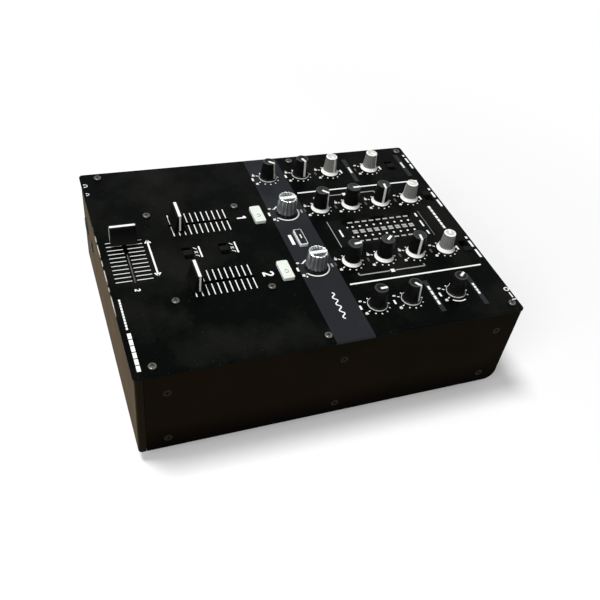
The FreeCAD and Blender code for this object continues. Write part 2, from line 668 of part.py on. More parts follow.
def make_bottom_tray():
    """Floor with a rounded rear bend, side flanges and an ear at the middle of each side."""
    x = X_IN
    bend = CHEEK_R - PROUD
    outer = block(-x, x, Y_FRONT_IN, Y_REAR, Z_TRAY, Z_TRAY + TRAY_WALL_H)
    rear = [e for e in edges_at(outer, "Y", Y_REAR) if e.BoundBox.ZMax < Z_TRAY + SAME]
    outer = outer.makeFillet(bend, rear)
    y_in = Y_REAR - TRAY_T
    wide = x + CUT_OVER
    inner = block(-wide, wide, Y_FRONT_IN - CUT_OVER, y_in, Z_FLOOR, Z_TRAY + TRAY_WALL_H + CUT_OVER)
    rear = [e for e in edges_at(inner, "Y", y_in) if e.BoundBox.ZMax < Z_FLOOR + SAME]
    inner = inner.makeFillet(bend - TRAY_T, rear)
    pieces = [outer.cut(inner)]
    ear_top = Z_SIDE_UP + TAB_H / 2
    for side in (-1, 1):
        x0, x1 = sorted((side * X_IN, side * (X_IN - TRAY_T)))
        pieces.append(block(x0, x1, Y_FRONT_IN, Y_CHEEK - CHEEK_R, Z_TRAY, Z_TRAY + TRAY_WALL_H))
        mid = SIDE_SCREW_MID_Y
        pieces.append(block(x0, x1, mid - TAB_L / 2, mid + TAB_L / 2, Z_TRAY, ear_top))
    tray = joined(pieces)
    tools = [drum(px, py, Z_TRAY, THREAD_R, TRAY_T) for px, py in foot_places()]
    tools += [drum(px, Y_FRONT_IN + BASE_SCREW_IN, Z_TRAY, HOLE_R, TRAY_T) for px in base_screw_xs()]
    tools += [drum(px, Y_REAR, Z_TRAY + REAR_SCREW_H, HOLE_R, TRAY_T, FORWARD) for px in base_screw_xs()]
    tools += [drum(-X_IN, py, pz, THREAD_R, TRAY_T, RIGHT) for py, pz in side_screw_places()]
    tools += [drum(X_IN, py, pz, THREAD_R, TRAY_T, LEFT) for py, pz in side_screw_places()]
    save("bottom_tray", [tray.cut(tools)])


def make_feet():
    """Four round rubber feet with a recess for the screw head."""
    length = FOOT_H + PROUD
    recess = length - FOOT_WEB
    outline = [(FOOT_RECESS_R, 0), (FOOT_TIP_R, 0), (FOOT_R, length), (HOLE_R, length)]
    outline += [(HOLE_R, recess), (FOOT_RECESS_R, recess)]
    foot = turned(outline)
    save("rubber_feet", [placed(foot, (x, y, 0.0)) for x, y in foot_places()])


# Knobs and pots

def knob_solids(kind):
    """Grip, skirt and pointer of a knob on the axis, with z = 0 at the plate and the pointer to the back."""
    height, top_r, base_r, skirt_r = kind
    hollow_r = NUT_FLATS / 2 / math.cos(math.pi / 6) + CAVITY_GAP
    low = KNOB_LIFT
    rim = low + SKIRT_RIM
    seat = low + SKIRT_H
    bore_top = height - KNOB_TOP_WALL
    bore_r = SHAFT_R + THREAD_GAP
    hollow_top = seat + CAVITY_GAP
    skirt = turned([(hollow_r, low), (skirt_r, low), (skirt_r, rim), (base_r, seat), (hollow_r, seat)])
    body = turned([(0, seat), (base_r, seat), (top_r, height), (0, height)])
    body = body.makeFillet(KNOB_ROUND, edges_at(body, "Z", height)[:1])
    core_top = height - POINTER_DEPTH
    inset = POINTER_DEPTH
    core = turned([(0, seat), (base_r - inset, seat), (top_r - inset, core_top), (0, core_top)])
    bar = block(-POINTER_W / 2, POINTER_W / 2, 0, base_r + inset, seat, height)
    pointer = body.cut(core).common(bar)
    bore = turned([(0, seat), (hollow_r, seat), (hollow_r, hollow_top), (bore_r, hollow_top),
                   (bore_r, bore_top), (0, bore_top)])
    grip = body.cut([pointer, bore])
    if kind is COLOUR_KNOB:
        grip = grip.cut(flute_cutters(kind) + scoop_cutters(kind))
    return [grip, skirt, pointer]


def flute_cutters(kind):
    """Cutters that follow a grip's slope, with a rib left under the pointer."""
    height, top_r, base_r, _ = kind
    seat = KNOB_LIFT + SKIRT_H
    off = FLUTE_R - FLUTE_DEPTH
    cutters = []
    for k in range(FLUTES):
        angle = math.pi / 2 + (k + 0.5) * 2 * math.pi / FLUTES
        out = FreeCAD.Vector(math.cos(angle), math.sin(angle), 0)
        low = out * (base_r + off) + UP * seat
        slope = out * (top_r - base_r) + UP * (height - seat)
        start = low - slope * FLUTE_SPARE
        length = slope.Length * (1 + 2 * FLUTE_SPARE)
        cutters.append(Part.makeCylinder(FLUTE_R, length, start, slope))
    return cutters


def scoop_cutters(kind):
    """Cutters for the two finger hollows in a grip's top, either side of the ridge with the pointer."""
    z = kind[0] + SCOOP_R - SCOOP_DEPTH
    return [Part.makeSphere(SCOOP_R, FreeCAD.Vector(side * SCOOP_X, 0, z)) for side in (-1, 1)]


def make_knobs():
    """Each knob with the pot shaft that it is pushed on."""
    shaft_low = Z_BOARD + POT_H - SHAFT_DIP
    for node, x, y, kind, angle in KNOBS:
        solids = [moved(solid, x, y, Z_TOP, -angle) for solid in knob_solids(kind)]
        shaft_top = Z_TOP + kind[0] - KNOB_TOP_WALL
        solids.append(drum(x, y, shaft_low, SHAFT_R, shaft_top - shaft_low))
        save(node, solids)


def make_pots():
    """Pot bodies on the control board and the nuts that hold their bushes to the plate."""
    bush_top = Z_TOP + NUT_H + BUSH_OVER
    case = centred(0, 0, Z_BOARD, Z_BOARD + POT_H, POT_W, POT_D)
    bush = drum(0, 0, Z_BOARD + POT_H, BUSH_R, bush_top - Z_BOARD - POT_H)
    bore_low = Z_BOARD + POT_H - SHAFT_DIP
    bore = drum(0, 0, bore_low, SHAFT_R + RUN_GAP, bush_top - bore_low)
    pot = joined([case, bush]).cut(bore)
    corner = NUT_FLATS / 2 / math.cos(math.pi / 6)
    ring = [FreeCAD.Vector(corner * math.cos(k * math.pi / 3), corner * math.sin(k * math.pi / 3), Z_TOP)
            for k in range(7)]
    nut = Part.Face(Part.makePolygon(ring)).extrude(FreeCAD.Vector(0, 0, NUT_H))
    nut = nut.cut(drum(0, 0, Z_TOP, BUSH_R + THREAD_GAP, NUT_H))
    save("pots", [moved(solid, x, y) for _, x, y, _, _ in KNOBS for solid in (pot, nut)])


# Faders

def lever_slot(thickness):
    """Cutter for the slot that a fader lever runs in, along X from z = 0."""
    length = FADER_TRAVEL + LEVER_W + 2 * SLOT_GAP
    return centred(0, 0, 0, thickness, length, LEVER_T + 2 * SLOT_GAP)


def rod_z():
    """Height of the guide rods' axes."""
    return Z_FRAME - FRAME_H / 2


def frame_length():
    """Outside length of a fader frame."""
    return FADER_TRAVEL + CARRIAGE_L + 2 * (FRAME_SPARE + FRAME_WALL)


def make_fader_frames():
    """Open steel boxes under the fader plate, each with two guide rods."""
    length = frame_length()
    inside = length - 2 * FRAME_WALL
    z_low = Z_FRAME - FRAME_H
    box = centred(0, 0, z_low, Z_FRAME, length, FRAME_W)
    hollow = centred(0, 0, z_low + FRAME_WALL, Z_FRAME, inside, FRAME_W - 2 * FRAME_WALL)
    solids = [box.cut(hollow)]
    for side in (-1, 1):
        solids.append(drum(-inside / 2, side * ROD_SPACING / 2, rod_z(), ROD_R, inside, RIGHT))
    save("fader_frames", [moved(s, x, y, 0.0, turn) for _, x, y, turn, _ in FADERS for s in solids])


def carriage():
    """Carriage block with two bores and the lever that reaches up into the cap."""
    z = rod_z()
    body = centred(0, 0, z - CARRIAGE_H / 2, z + CARRIAGE_H / 2, CARRIAGE_L, CARRIAGE_W)
    bores = [drum(-CARRIAGE_L / 2, side * ROD_SPACING / 2, z, ROD_R + RUN_GAP, CARRIAGE_L, RIGHT)
             for side in (-1, 1)]
    lever = centred(0, 0, z, Z_TOP + CAP_LIFT + CAP_LEVER_IN, LEVER_W, LEVER_T)
    return joined([body.cut(bores), lever])


def cap_solids():
    """Wedge cap with a white line over its top and down both ends; it travels along X."""
    low = Z_TOP + CAP_LIFT
    high = Z_TOP + CAP_H
    base = CAP_BASE_W / 2
    tip = CAP_TOP_W / 2
    shoulder = (low + high) / 2
    waist = tip + (base - tip) * CAP_WAIST
    outline = [FreeCAD.Vector(u, -CAP_L / 2, z) for u, z in (
        (-base, low), (base, low), (waist, shoulder), (tip, high), (-tip, high), (-waist, shoulder))]
    outline.append(outline[0])
    wedge = Part.Face(Part.makePolygon(outline)).extrude(FreeCAD.Vector(0, CAP_L, 0))
    ends = edges_at(wedge, "Y", -CAP_L / 2) + edges_at(wedge, "Y", CAP_L / 2)
    ends = [edge for edge in ends if edge.BoundBox.ZMax > low + SAME]
    wedge = wedge.makeChamfer(CAP_ROUND, ends)
    depth = CAP_LINE_DEPTH
    core = centred(0, 0, low, high - depth, CAP_BASE_W, CAP_L - 2 * depth)
    line = wedge.common(centred(0, 0, low, high, CAP_LINE_W, CAP_L)).cut(core)
    gap = 2 * THREAD_GAP
    socket = centred(0, 0, low, low + CAP_LEVER_IN, LEVER_W + gap, LEVER_T + gap)
    return [wedge.cut([line, socket]), line]


def make_faders():
    """Caps and carriages at rest."""
    for node, x, y, turn, along in FADERS:
        angle = math.radians(turn)
        px = x + along * math.cos(angle)
        py = y + along * math.sin(angle)
        save(node + "_cap", [moved(solid, px, py, 0.0, turn) for solid in cap_solids()])
        save(node + "_carriage", [moved(carriage(), px, py, 0.0, turn)])


def make_fader_plate():
    """Steel plate that carries the three fader frames and the curve switches."""
    front = CROSS_Y - FADER_PLATE_EDGE
    rear = FADER_SCREW_Y[0] + FADER_PLATE_EDGE / 2
    half = FADER_PLATE_W / 2
    plate = block(-half, half, front, rear, Z_FRAME, Z_FADER_PLATE)
    tools = [moved(lever_slot(TRAY_T), x, y, Z_FRAME, turn) for _, x, y, turn, _ in FADERS]
    tools += [drum(x, y, Z_FRAME, THREAD_R, TRAY_T) for x, y in fader_screw_places()]
    save("fader_plate", [plate.cut(tools)])


# Slide switches and buttons

def make_slide_switches():
    """Switch bodies with an open cavity, and the levers that slide in them."""
    top = Z_UNDER - SWITCH_GAP
    floor = top - SWITCH_DEPTH
    cavity_l = SLIDER_L + 2 * (SWITCH_STEP + SWITCH_GAP)
    cavity_w = SLIDER_W + 2 * SWITCH_GAP
    bodies = []
    for node, x, y, rest, carrier in SWITCHES:
        case = centred(x, y, carrier, top, cavity_l + 2 * SWITCH_WALL, cavity_w + 2 * SWITCH_WALL)
        bodies.append(case.cut(centred(x, y, floor, top, cavity_l, cavity_w)))
        low = floor + SWITCH_GAP
        slider = centred(x + rest, y, low, low + SLIDER_H, SLIDER_L, SLIDER_W)
        nub = centred(x + rest, y, low, Z_TOP + NUB_PROUD, LEVER_NUB_L, LEVER_NUB_W)
        save(node, [joined([slider, nub])])
    save("slide_switch_bodies", bodies)


def make_buttons():
    """Button caps with a lip under the plate, a stem and the contact switch's plunger."""
    lip_top = Z_UNDER - LIP_GAP
    lip_low = lip_top - LIP_H
    plunger_low = Z_BOARD + TACT_FLOOR + BUTTON_TRAVEL + LIP_GAP
    plunger_top = plunger_low + PLUNGER_L
    for node, x, y, width, depth in BUTTONS:
        cap = slab(x, y, lip_low, Z_TOP + BUTTON_PROUD, width, depth, BUTTON_R)
        cap = cap.makeChamfer(BUTTON_R / 2, edges_at(cap, "Z", Z_TOP + BUTTON_PROUD))
        lip = slab(x, y, lip_low, lip_top, width + 2 * LIP_W, depth + 2 * LIP_W, BUTTON_R)
        stem = drum(x, y, plunger_top, STEM_R, lip_low - plunger_top)
        plunger = drum(x, y, plunger_low, PLUNGER_R, PLUNGER_L)
        save(node, [joined([cap, lip, stem]), plunger])


# Level meter

def led_places():
    """Middle, width and length of every light guide."""
    places = []
    for k in range(LED_ROWS):
        y = LED_MID_Y + (k - (LED_ROWS - 1) / 2) * LED_PITCH
        for side in (-1, 1):
            places.append((side * LED_CHANNEL_X, y, LED_CHANNEL_W))
            places.append((side * LED_MASTER_X, y, LED_MASTER_W))
    return places


def make_meter():
    """Acrylic window let into the plate, and the light guides that show through it."""
    gap = 2 * METER_GAP
    pane = centred(0, METER_Y, Z_UNDER - METER_LIP_H, Z_TOP, METER_W - gap, METER_D - gap)
    lip_w = METER_W + 2 * METER_LIP
    lip = centred(0, METER_Y, Z_UNDER - METER_LIP_H, Z_UNDER, lip_w, METER_D + 2 * METER_LIP)
    slots = []
    guides = []
    low = Z_UNDER - METER_LIP_H
    for x, y, width in led_places():
        slots.append(centred(x, y, low, Z_TOP, width + 2 * GUIDE_GAP, LED_L + 2 * GUIDE_GAP))
        guides.append(centred(x, y, Z_BOARD + LED_H + GUIDE_GAP, Z_TOP, width, LED_L))
    save("meter_window", [joined([pane, lip]).cut(slots)])
    save("meter_light_guides", guides)


# Boards

def make_control_board():
    """Control board with the meter's diodes and the buttons' contact switches soldered on."""
    half = CASE_W / 2 - BOARD_EDGE_X
    board = block(-half, half, CUE_Y - BOARD_FRONT, Y_REAR_IN - BOARD_REAR, Z_BOARD_LOW, Z_BOARD)
    holes = [drum(x, y, Z_BOARD_LOW, THREAD_R, BOARD_T) for x, y in pillar_places()]
    solids = [board.cut(holes)]
    for x, y, width in led_places():
        solids.append(centred(x, y, Z_BOARD, Z_BOARD + LED_H, width, LED_L / 2))
    for _, x, y, _, _ in BUTTONS:
        tact = centred(x, y, Z_BOARD, Z_BOARD + TACT_H, TACT_W, TACT_W)
        bore = drum(x, y, Z_BOARD + TACT_FLOOR, PLUNGER_R + RUN_GAP, TACT_H - TACT_FLOOR)
        solids.append(tact.cut(bore))
    save("control_board", solids)


def pillar_places():
    """Axes of the pillars between the plate and the control board."""
    return [(x, y) for x in (-PILLAR_X, PILLAR_X) for y in PILLAR_Y]


def make_standoffs():
    """Pillars with a stud through the control board, and spacers above the fader plate."""
    solids = []
    for x, y in pillar_places():
        stud = drum(x, y, Z_BOARD, SCREW_R, BOARD_T + STUD_L, DOWN)
        solids.append(joined([drum(x, y, Z_BOARD, PILLAR_R, BOARD_DROP), stud]))
    for x, y in fader_screw_places():
        spacer = drum(x, y, Z_FADER_PLATE, SPACER_R, FADER_GAP)
        solids.append(spacer.cut(drum(x, y, Z_FADER_PLATE, THREAD_R, FADER_GAP)))
    save("standoffs", solids)


def jack_board_top():
    """Upper edge of the jack board, under the control board."""
    return Z_BOARD_LOW - JACK_BOARD_TOP_GAP


def make_jack_board():
    """Upright board behind the phono sockets, and the ribbon to the control board."""
    y_face = Y_REAR_IN - RCA_BODY_L
    x0 = RCA_FIRST_X - JACK_BOARD_EDGE
    x1 = RCA_FIRST_X + (RCA_COLUMNS - 1) * RCA_PITCH + JACK_BOARD_EDGE
    z0 = Z_BASE + RCA_ROWS[0] - JACK_BOARD_EDGE
    save("jack_board", [block(x0, x1, y_face - BOARD_T, y_face, z0, jack_board_top())])
    y_near = y_face - BOARD_T
    y_far = y_near - RIBBON_RUN
    z_run = Z_BOARD_LOW - RIBBON_DROP
    half = RIBBON_W / 2
    mid = (x0 + x1) / 2
    run = block(mid - half, mid + half, y_far, y_near, z_run, z_run + RIBBON_T)
    rise = block(mid - half, mid + half, y_far, y_far + RIBBON_T, z_run, Z_BOARD_LOW)
    save("ribbon_cable", [joined([run, rise])])


def make_power_supply():
    """Power supply board on four posts, with its transformer and two capacitors."""
    z = Z_FLOOR + PSU_LIFT
    top = z + BOARD_T
    solids = [centred(PSU_X, PSU_Y, z, top, PSU_W, PSU_D)]
    dx = PSU_W / 2 - PSU_POST_IN
    dy = PSU_D / 2 - PSU_POST_IN
    for sx in (-1, 1):
        for sy in (-1, 1):
            solids.append(drum(PSU_X + sx * dx, PSU_Y + sy * dy, Z_FLOOR, PSU_POST_R, PSU_LIFT))
    y_core = PSU_Y - PSU_D / 4
    solids.append(centred(PSU_X, y_core, top, top + TRANSFORMER_H, TRANSFORMER_W, TRANSFORMER_D))
    for side in (-1, 1):
        x = PSU_X + side * CAPACITOR_PITCH / 2
        solids.append(drum(x, PSU_Y + PSU_D / 4, top, CAPACITOR_R, CAPACITOR_H))
    save("power_supply", solids)


# Sockets

def jack_socket(bore_r, barrel_r, nut_r, body, body_l):
    """Jack socket and its ring nut, with z = 0 at the panel's inner face and the mouth along +Z."""
    top = SHEET_T + JACK_NUT_T
    case = centred(0, 0, -body_l, 0, body, body)
    barrel = drum(0, 0, 0, barrel_r, top)
    bore_low = JACK_END_WALL - body_l
    bore = drum(0, 0, bore_low, bore_r, top - bore_low)
    nut = drum(0, 0, SHEET_T, nut_r, JACK_NUT_T).cut(drum(0, 0, SHEET_T, barrel_r + THREAD_GAP, JACK_NUT_T))
    return [joined([case, barrel]).cut(bore), nut]


def make_jack_sockets():
    """Two headphone sockets in the front panel and the microphone socket in the rear panel."""
    large = jack_socket(LARGE_BORE_R, LARGE_BARREL_R, LARGE_NUT_R, LARGE_BODY, LARGE_BODY_L)
    mini = jack_socket(MINI_BORE_R, MINI_BARREL_R, MINI_NUT_R, MINI_BODY, MINI_BODY_L)
    z = Z_TOP - JACK_Z
    solids = [placed(s, (LARGE_X, Y_FRONT_IN, z), FORWARD) for s in large]
    solids += [placed(s, (MINI_X, Y_FRONT_IN, z), FORWARD) for s in mini]
    solids += [placed(s, (MIC_X, Y_REAR_IN, Z_BASE + MIC_Z), BACK) for s in large]
    save("jack_sockets", solids)


def rca_places():
    """Axes of the phono sockets along X and Z."""
    columns = [RCA_FIRST_X + k * RCA_PITCH for k in range(RCA_COLUMNS)]
    return [(x, Z_BASE + row) for x in columns for row in RCA_ROWS]


def make_rca_jacks():
    """Phono sockets: body, collar and sleeve in one solid, with an insulating insert."""
    bodies = []
    inserts = []
    tip = Y_REAR + RCA_SLEEVE
    face = tip - RCA_INSERT_IN
    for x, z in rca_places():
        w = RCA_BODY_W / 2
        h = RCA_BODY_H / 2
        case = block(x - w, x + w, Y_REAR_IN - RCA_BODY_L, Y_REAR_IN, z - h, z + h)
        collar = drum(x, Y_REAR_IN, z, RCA_COLLAR_R, SHEET_T + RCA_COLLAR_T, BACK)
        sleeve = drum(x, Y_REAR_IN, z, RCA_R, tip - Y_REAR_IN, BACK)
        hollow = drum(x, Y_REAR, z, RCA_INSERT_R + THREAD_GAP, RCA_SLEEVE, BACK)
        bodies.append(joined([case, collar, sleeve]).cut(hollow))
        insert = drum(x, Y_REAR, z, RCA_INSERT_R, face - Y_REAR, BACK)
        inserts.append(insert.cut(drum(x, Y_REAR + RCA_COLLAR_T, z, RCA_BORE_R, RCA_SLEEVE, BACK)))
    save("rca_jacks", bodies)
    save("rca_inserts", inserts)


def xlr_screw_places():
    """Places along X and Z of the screws in the three-pin sockets' flanges."""
    z = Z_BASE + XLR_Z
    corners = ((-XLR_SCREW_X, XLR_SCREW_Z), (XLR_SCREW_X, -XLR_SCREW_Z))
    return [(x + dx, z + dz) for x in XLR_X for dx, dz in corners]


def make_xlr_sockets():
    """Three-pin output sockets with a round recess and three pins."""
    flange = slab(0, 0, 0, XLR_FLANGE_T, XLR_W, XLR_H, XLR_CORNER_R)
    depth = XLR_RECESS + XLR_FLOOR - XLR_FLANGE_T
    barrel = drum(0, 0, 0, XLR_BARREL_R, depth, DOWN)
    recess = drum(0, 0, XLR_FLANGE_T, XLR_RECESS_R, XLR_RECESS, DOWN)
    hole = sunk_hole(XLR_FLANGE_T)
    holes = [placed(hole, (sx * XLR_SCREW_X, sx * XLR_SCREW_Z, XLR_FLANGE_T)) for sx in (-1, 1)]
    solids = [joined([flange, barrel]).cut([recess] + holes)]
    pin_low = XLR_FLANGE_T - XLR_RECESS
    for k in range(3):
        angle = math.pi / 2 + k * 2 * math.pi / 3
        px = XLR_PIN_CIRCLE_R * math.cos(angle)
        py = XLR_PIN_CIRCLE_R * math.sin(angle)
        solids.append(drum(px, py, pin_low, XLR_PIN_R, XLR_PIN_L))
    turn = FreeCAD.Rotation(RIGHT, -90)
    sockets = []
    for x in XLR_X:
        for solid in solids:
            copy = solid.copy()
            place = FreeCAD.Placement(FreeCAD.Vector(x, Y_REAR, Z_BASE + XLR_Z), turn)
            copy.Placement = place.multiply(solid.Placement)
            sockets.append(copy)
    save("xlr_sockets", sockets)


def rear_box(x, z, width, height, y0, y1):
    """Box on an axis of the rear panel."""
    return block(x - width / 2, x + width / 2, y0, y1, z - height / 2, z + height / 2)


def make_usb_port():
    """Square data port with its tongue."""
    z = Z_BASE + USB_Z
    y_in = Y_REAR - USB_L
    shell = rear_box(USB_X, z, USB_W, USB_H, y_in, Y_REAR)
    mouth_low = Y_REAR - USB_MOUTH_L
    mouth = rear_box(USB_X, z, USB_MOUTH_W, USB_MOUTH_H, mouth_low, Y_REAR)
    tongue = rear_box(USB_X, z, USB_TONGUE_W, USB_TONGUE_H, mouth_low, mouth_low + USB_TONGUE_L)
    save("usb_port", [joined([shell.cut(mouth), tongue])])


def inlet_mouth():
    """Cutter for the inlet's figure-of-eight recess, drawn as a box with round ends."""
    z = Z_BASE + INLET_Z
    y_low = Y_REAR + INLET_FLANGE - INLET_MOUTH_L
    radius = INLET_MOUTH_H / 2
    half = INLET_MOUTH_W / 2 - radius
    middle = rear_box(INLET_X, z, 2 * half, INLET_MOUTH_H, y_low, Y_REAR + INLET_FLANGE)
    ends = [drum(INLET_X + s * half, y_low, z, radius, INLET_MOUTH_L, BACK) for s in (-1, 1)]
    return joined([middle] + ends)


def make_mains_inlet():
    """Two-pin mains inlet with a flange on the rear panel."""
    z = Z_BASE + INLET_Z
    y_low = Y_REAR + INLET_FLANGE - INLET_L
    rim = 2 * HOUSING_RIM
    body = rear_box(INLET_X, z, INLET_W, INLET_H, y_low, Y_REAR)
    flange = rear_box(INLET_X, z, INLET_W + rim, INLET_H + rim, Y_REAR, Y_REAR + INLET_FLANGE)
    solids = [joined([body, flange]).cut(inlet_mouth())]
    y_pin = Y_REAR + INLET_FLANGE - INLET_MOUTH_L
    for side in (-1, 1):
        solids.append(drum(INLET_X + side * INLET_PIN_X, y_pin, z, INLET_PIN_R, INLET_PIN_L, BACK))
    save("mains_inlet", solids)


def rocker_reach():
    """Greatest distance of the rocker from its axis."""
    outer = math.hypot(ROCKER_L / 2, ROCKER_RISE + ROCKER_AXIS_IN)
    inner = math.hypot(ROCKER_L / 2 - ROCKER_BELLY, ROCKER_BELLY)
    return max(outer, inner)


def housing_size():
    """Width and height of the power switch body behind the panel."""
    height = 2 * (rocker_reach() + ROCKER_GAP + ROCKER_WALL)
    return ROCKER_W + 2 * (ROCKER_GAP + ROCKER_WALL), height


def make_power_switch():
    """Rocker, tilted to off, in its snap-in housing."""
    z = Z_BASE + ROCKER_Z
    width, height = housing_size()
    rim = 2 * HOUSING_RIM
    body = rear_box(ROCKER_X, z, width, height, Y_REAR - HOUSING_L, Y_REAR)
    flange = rear_box(ROCKER_X, z, width + rim, height + rim, Y_REAR, Y_REAR + HOUSING_FLANGE)
    wall = 2 * ROCKER_WALL
    y_low = Y_REAR - ROCKER_AXIS_IN - rocker_reach()
    y_out = Y_REAR + HOUSING_FLANGE
    hollow = rear_box(ROCKER_X, z, width - wall, height - wall, y_low, y_out)
    y_axis = Y_REAR - ROCKER_AXIS_IN
    axle_r = ROCKER_GAP + SCREW_R
    axle_l = width - ROCKER_WALL
    axle = drum(ROCKER_X - axle_l / 2, y_axis, z, axle_r, axle_l, RIGHT)
    save("power_switch_housing", [joined([body, flange]).cut([hollow, axle])])
    half = ROCKER_L / 2
    face = ROCKER_AXIS_IN
    outline = [(-half, face + ROCKER_RISE), (0, face), (half, face + ROCKER_RISE), (half, 0),
               (half - ROCKER_BELLY, -ROCKER_BELLY), (ROCKER_BELLY - half, -ROCKER_BELLY), (-half, 0)]
    points = [FreeCAD.Vector(0, out, up) for up, out in outline]
    points.append(points[0])
    rocker = Part.Face(Part.makePolygon(points)).extrude(FreeCAD.Vector(ROCKER_W, 0, 0))
    rocker.translate(FreeCAD.Vector(-ROCKER_W / 2, 0, 0))
    pin_r = axle_r - RUN_GAP
    pin_l = axle_l - 2 * RUN_GAP
    rocker = joined([rocker, drum(-pin_l / 2, 0, 0, pin_r, pin_l, RIGHT)])
    turn = FreeCAD.Rotation(RIGHT, ROCKER_TILT)
    rocker.Placement = FreeCAD.Placement(FreeCAD.Vector(ROCKER_X, y_axis, z), turn)
    save("power_rocker", [rocker])


def make_ground_terminal():
    """Ground stud on an insulating base, with its knurled nut."""
    z = Z_BASE + GROUND_Z
    base = drum(GROUND_X, Y_REAR_IN - GROUND_BASE, z, GROUND_NUT_R, GROUND_BASE, BACK)
    stud = drum(GROUND_X, Y_REAR_IN, z, GROUND_STUD_R, SHEET_T + GROUND_L, BACK)
    nut = drum(GROUND_X, Y_REAR, z, GROUND_NUT_R, GROUND_NUT_T, BACK)
    nut = nut.cut(drum(GROUND_X, Y_REAR, z, GROUND_STUD_R + THREAD_GAP, GROUND_NUT_T, BACK))
    save("ground_terminal", [joined([base, stud]), nut])


def rear_openings():
    """Cutters for everything that passes through the rear panel."""
    y0 = Y_REAR_IN - SHEET_T
    through = Y_REAR - y0
    tools = [drum(x, y0, z, RCA_COLLAR_R + HOLE_GAP, through, BACK) for x, z in rca_places()]
    for x in XLR_X:
        tools.append(drum(x, y0, Z_BASE + XLR_Z, XLR_BARREL_R + HOLE_GAP, through, BACK))
    tools += [drum(x, y0, z, THREAD_R, through, BACK) for x, z in xlr_screw_places()]
    tools.append(drum(MIC_X, y0, Z_BASE + MIC_Z, LARGE_BARREL_R + HOLE_GAP, through, BACK))
    gap = 2 * HOLE_GAP
    tools.append(rear_box(USB_X, Z_BASE + USB_Z, USB_W + gap, USB_H + gap, y0, Y_REAR))
    tools.append(rear_box(INLET_X, Z_BASE + INLET_Z, INLET_W + gap, INLET_H + gap, y0, Y_REAR))
    width, height = housing_size()
    tools.append(rear_box(ROCKER_X, Z_BASE + ROCKER_Z, width + gap, height + gap, y0, Y_REAR))
    tools.append(drum(GROUND_X, y0, Z_BASE + GROUND_Z, GROUND_STUD_R + HOLE_GAP, through, BACK))
    return tools


os.makedirs("parts", exist_ok=True)
make_top_panel()
make_side_panel("side_panel_left", -1)
make_side_panel("side_panel_right", 1)
make_front_panel()
make_rear_panel()
make_bottom_tray()
make_feet()
make_screws()
make_knobs()
make_pots()
make_fader_frames()
make_faders()
make_fader_plate()
make_slide_switches()
make_buttons()
make_meter()
make_control_board()
make_standoffs()
make_jack_board()
make_power_supply()
make_jack_sockets()
make_rca_jacks()
make_xlr_sockets()
make_usb_port()
make_mains_inlet()
make_power_switch()
make_ground_terminal()
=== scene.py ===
"""Looks of a two-channel DJ mixer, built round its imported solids."""

import json
import logging
import math
from dataclasses import dataclass, field
from enum import Enum
from typing import Any, Callable, ClassVar, Sequence

import bmesh
import bpy
import numpy as np
from mathutils import Matrix, Vector


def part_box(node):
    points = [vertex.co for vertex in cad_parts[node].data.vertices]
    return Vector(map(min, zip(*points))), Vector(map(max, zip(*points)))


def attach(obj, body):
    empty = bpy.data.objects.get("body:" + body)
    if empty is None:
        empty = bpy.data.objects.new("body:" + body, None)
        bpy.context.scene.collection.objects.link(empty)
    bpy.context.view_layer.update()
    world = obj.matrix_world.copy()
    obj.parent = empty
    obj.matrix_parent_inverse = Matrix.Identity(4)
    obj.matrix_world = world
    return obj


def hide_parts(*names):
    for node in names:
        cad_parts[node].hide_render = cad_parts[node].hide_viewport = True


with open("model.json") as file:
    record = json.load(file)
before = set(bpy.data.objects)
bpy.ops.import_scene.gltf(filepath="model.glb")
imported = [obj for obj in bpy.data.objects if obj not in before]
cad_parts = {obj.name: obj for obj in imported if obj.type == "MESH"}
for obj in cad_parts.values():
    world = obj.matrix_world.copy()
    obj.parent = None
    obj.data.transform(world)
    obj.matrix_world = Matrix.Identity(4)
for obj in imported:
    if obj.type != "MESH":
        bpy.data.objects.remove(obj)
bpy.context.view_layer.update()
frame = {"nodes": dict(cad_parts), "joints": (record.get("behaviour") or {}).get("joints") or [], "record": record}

LOG = logging.getLogger("mixer")
MM = 0.001                     # metres in a millimetre
PHOTO_PX = 600                 # side of the square picture
SENSOR_MM = 36.0
CASE = "case"                  # the body that stands still

NOISE_FADE = 0.6               # strength of each finer layer of a noise, against the layer before it
PATCH_CUT = (0.35, 0.7)        # noise values between which a handled patch fades in
GLOSS_CUT = (0.3, 0.7)         # the same for a patch of gloss
GLOSS_PATCH = 0.6              # size of the patches of gloss, against the patches of tone
GRAIN_STRENGTH = 0.5
MERGE_M = 1e-7                 # points nearer than this are one

# A Mix node has sockets of the same name for colours and for values, so they are taken by number.
SHARE = 0
COLOUR_A, COLOUR_B, COLOUR_MIX = 6, 7, 2
VALUE_A, VALUE_B, VALUE_MIX = 2, 3, 0


# Colours and shader nodes

def linear(hex_colour: str) -> tuple[float, float, float, float]:
    """Turn an sRGB hex colour into linear light.

    Args:
        hex_colour: Six hex digits after a hash.

    Returns:
        Red, green, blue and an alpha of 1.
    """
    srgb = np.array([int(hex_colour[k:k + 2], 16) for k in (1, 3, 5)]) / 255.0
    light = np.where(srgb <= 0.04045, srgb / 12.92, ((srgb + 0.055) / 1.055) ** 2.4)
    return (*light.tolist(), 1.0)


def add_node(tree: bpy.types.NodeTree, kind: str, sockets: dict[str | int, Any] | None = None,
             **settings: Any) -> bpy.types.Node:
    """Add a shader node.

    Args:
        tree: The node tree that takes it.
        kind: The node's type name.
        sockets: Input name or number to a value, or to an output socket that is linked to it.
        **settings: The node's own properties.

    Returns:
        The new node.
    """
    node = tree.nodes.new(kind)
    for key, value in settings.items():
        setattr(node, key, value)
    for key, value in (sockets or {}).items():
        if isinstance(value, bpy.types.NodeSocket):
            tree.links.new(value, node.inputs[key])
        else:
            node.inputs[key].default_value = value
    return node


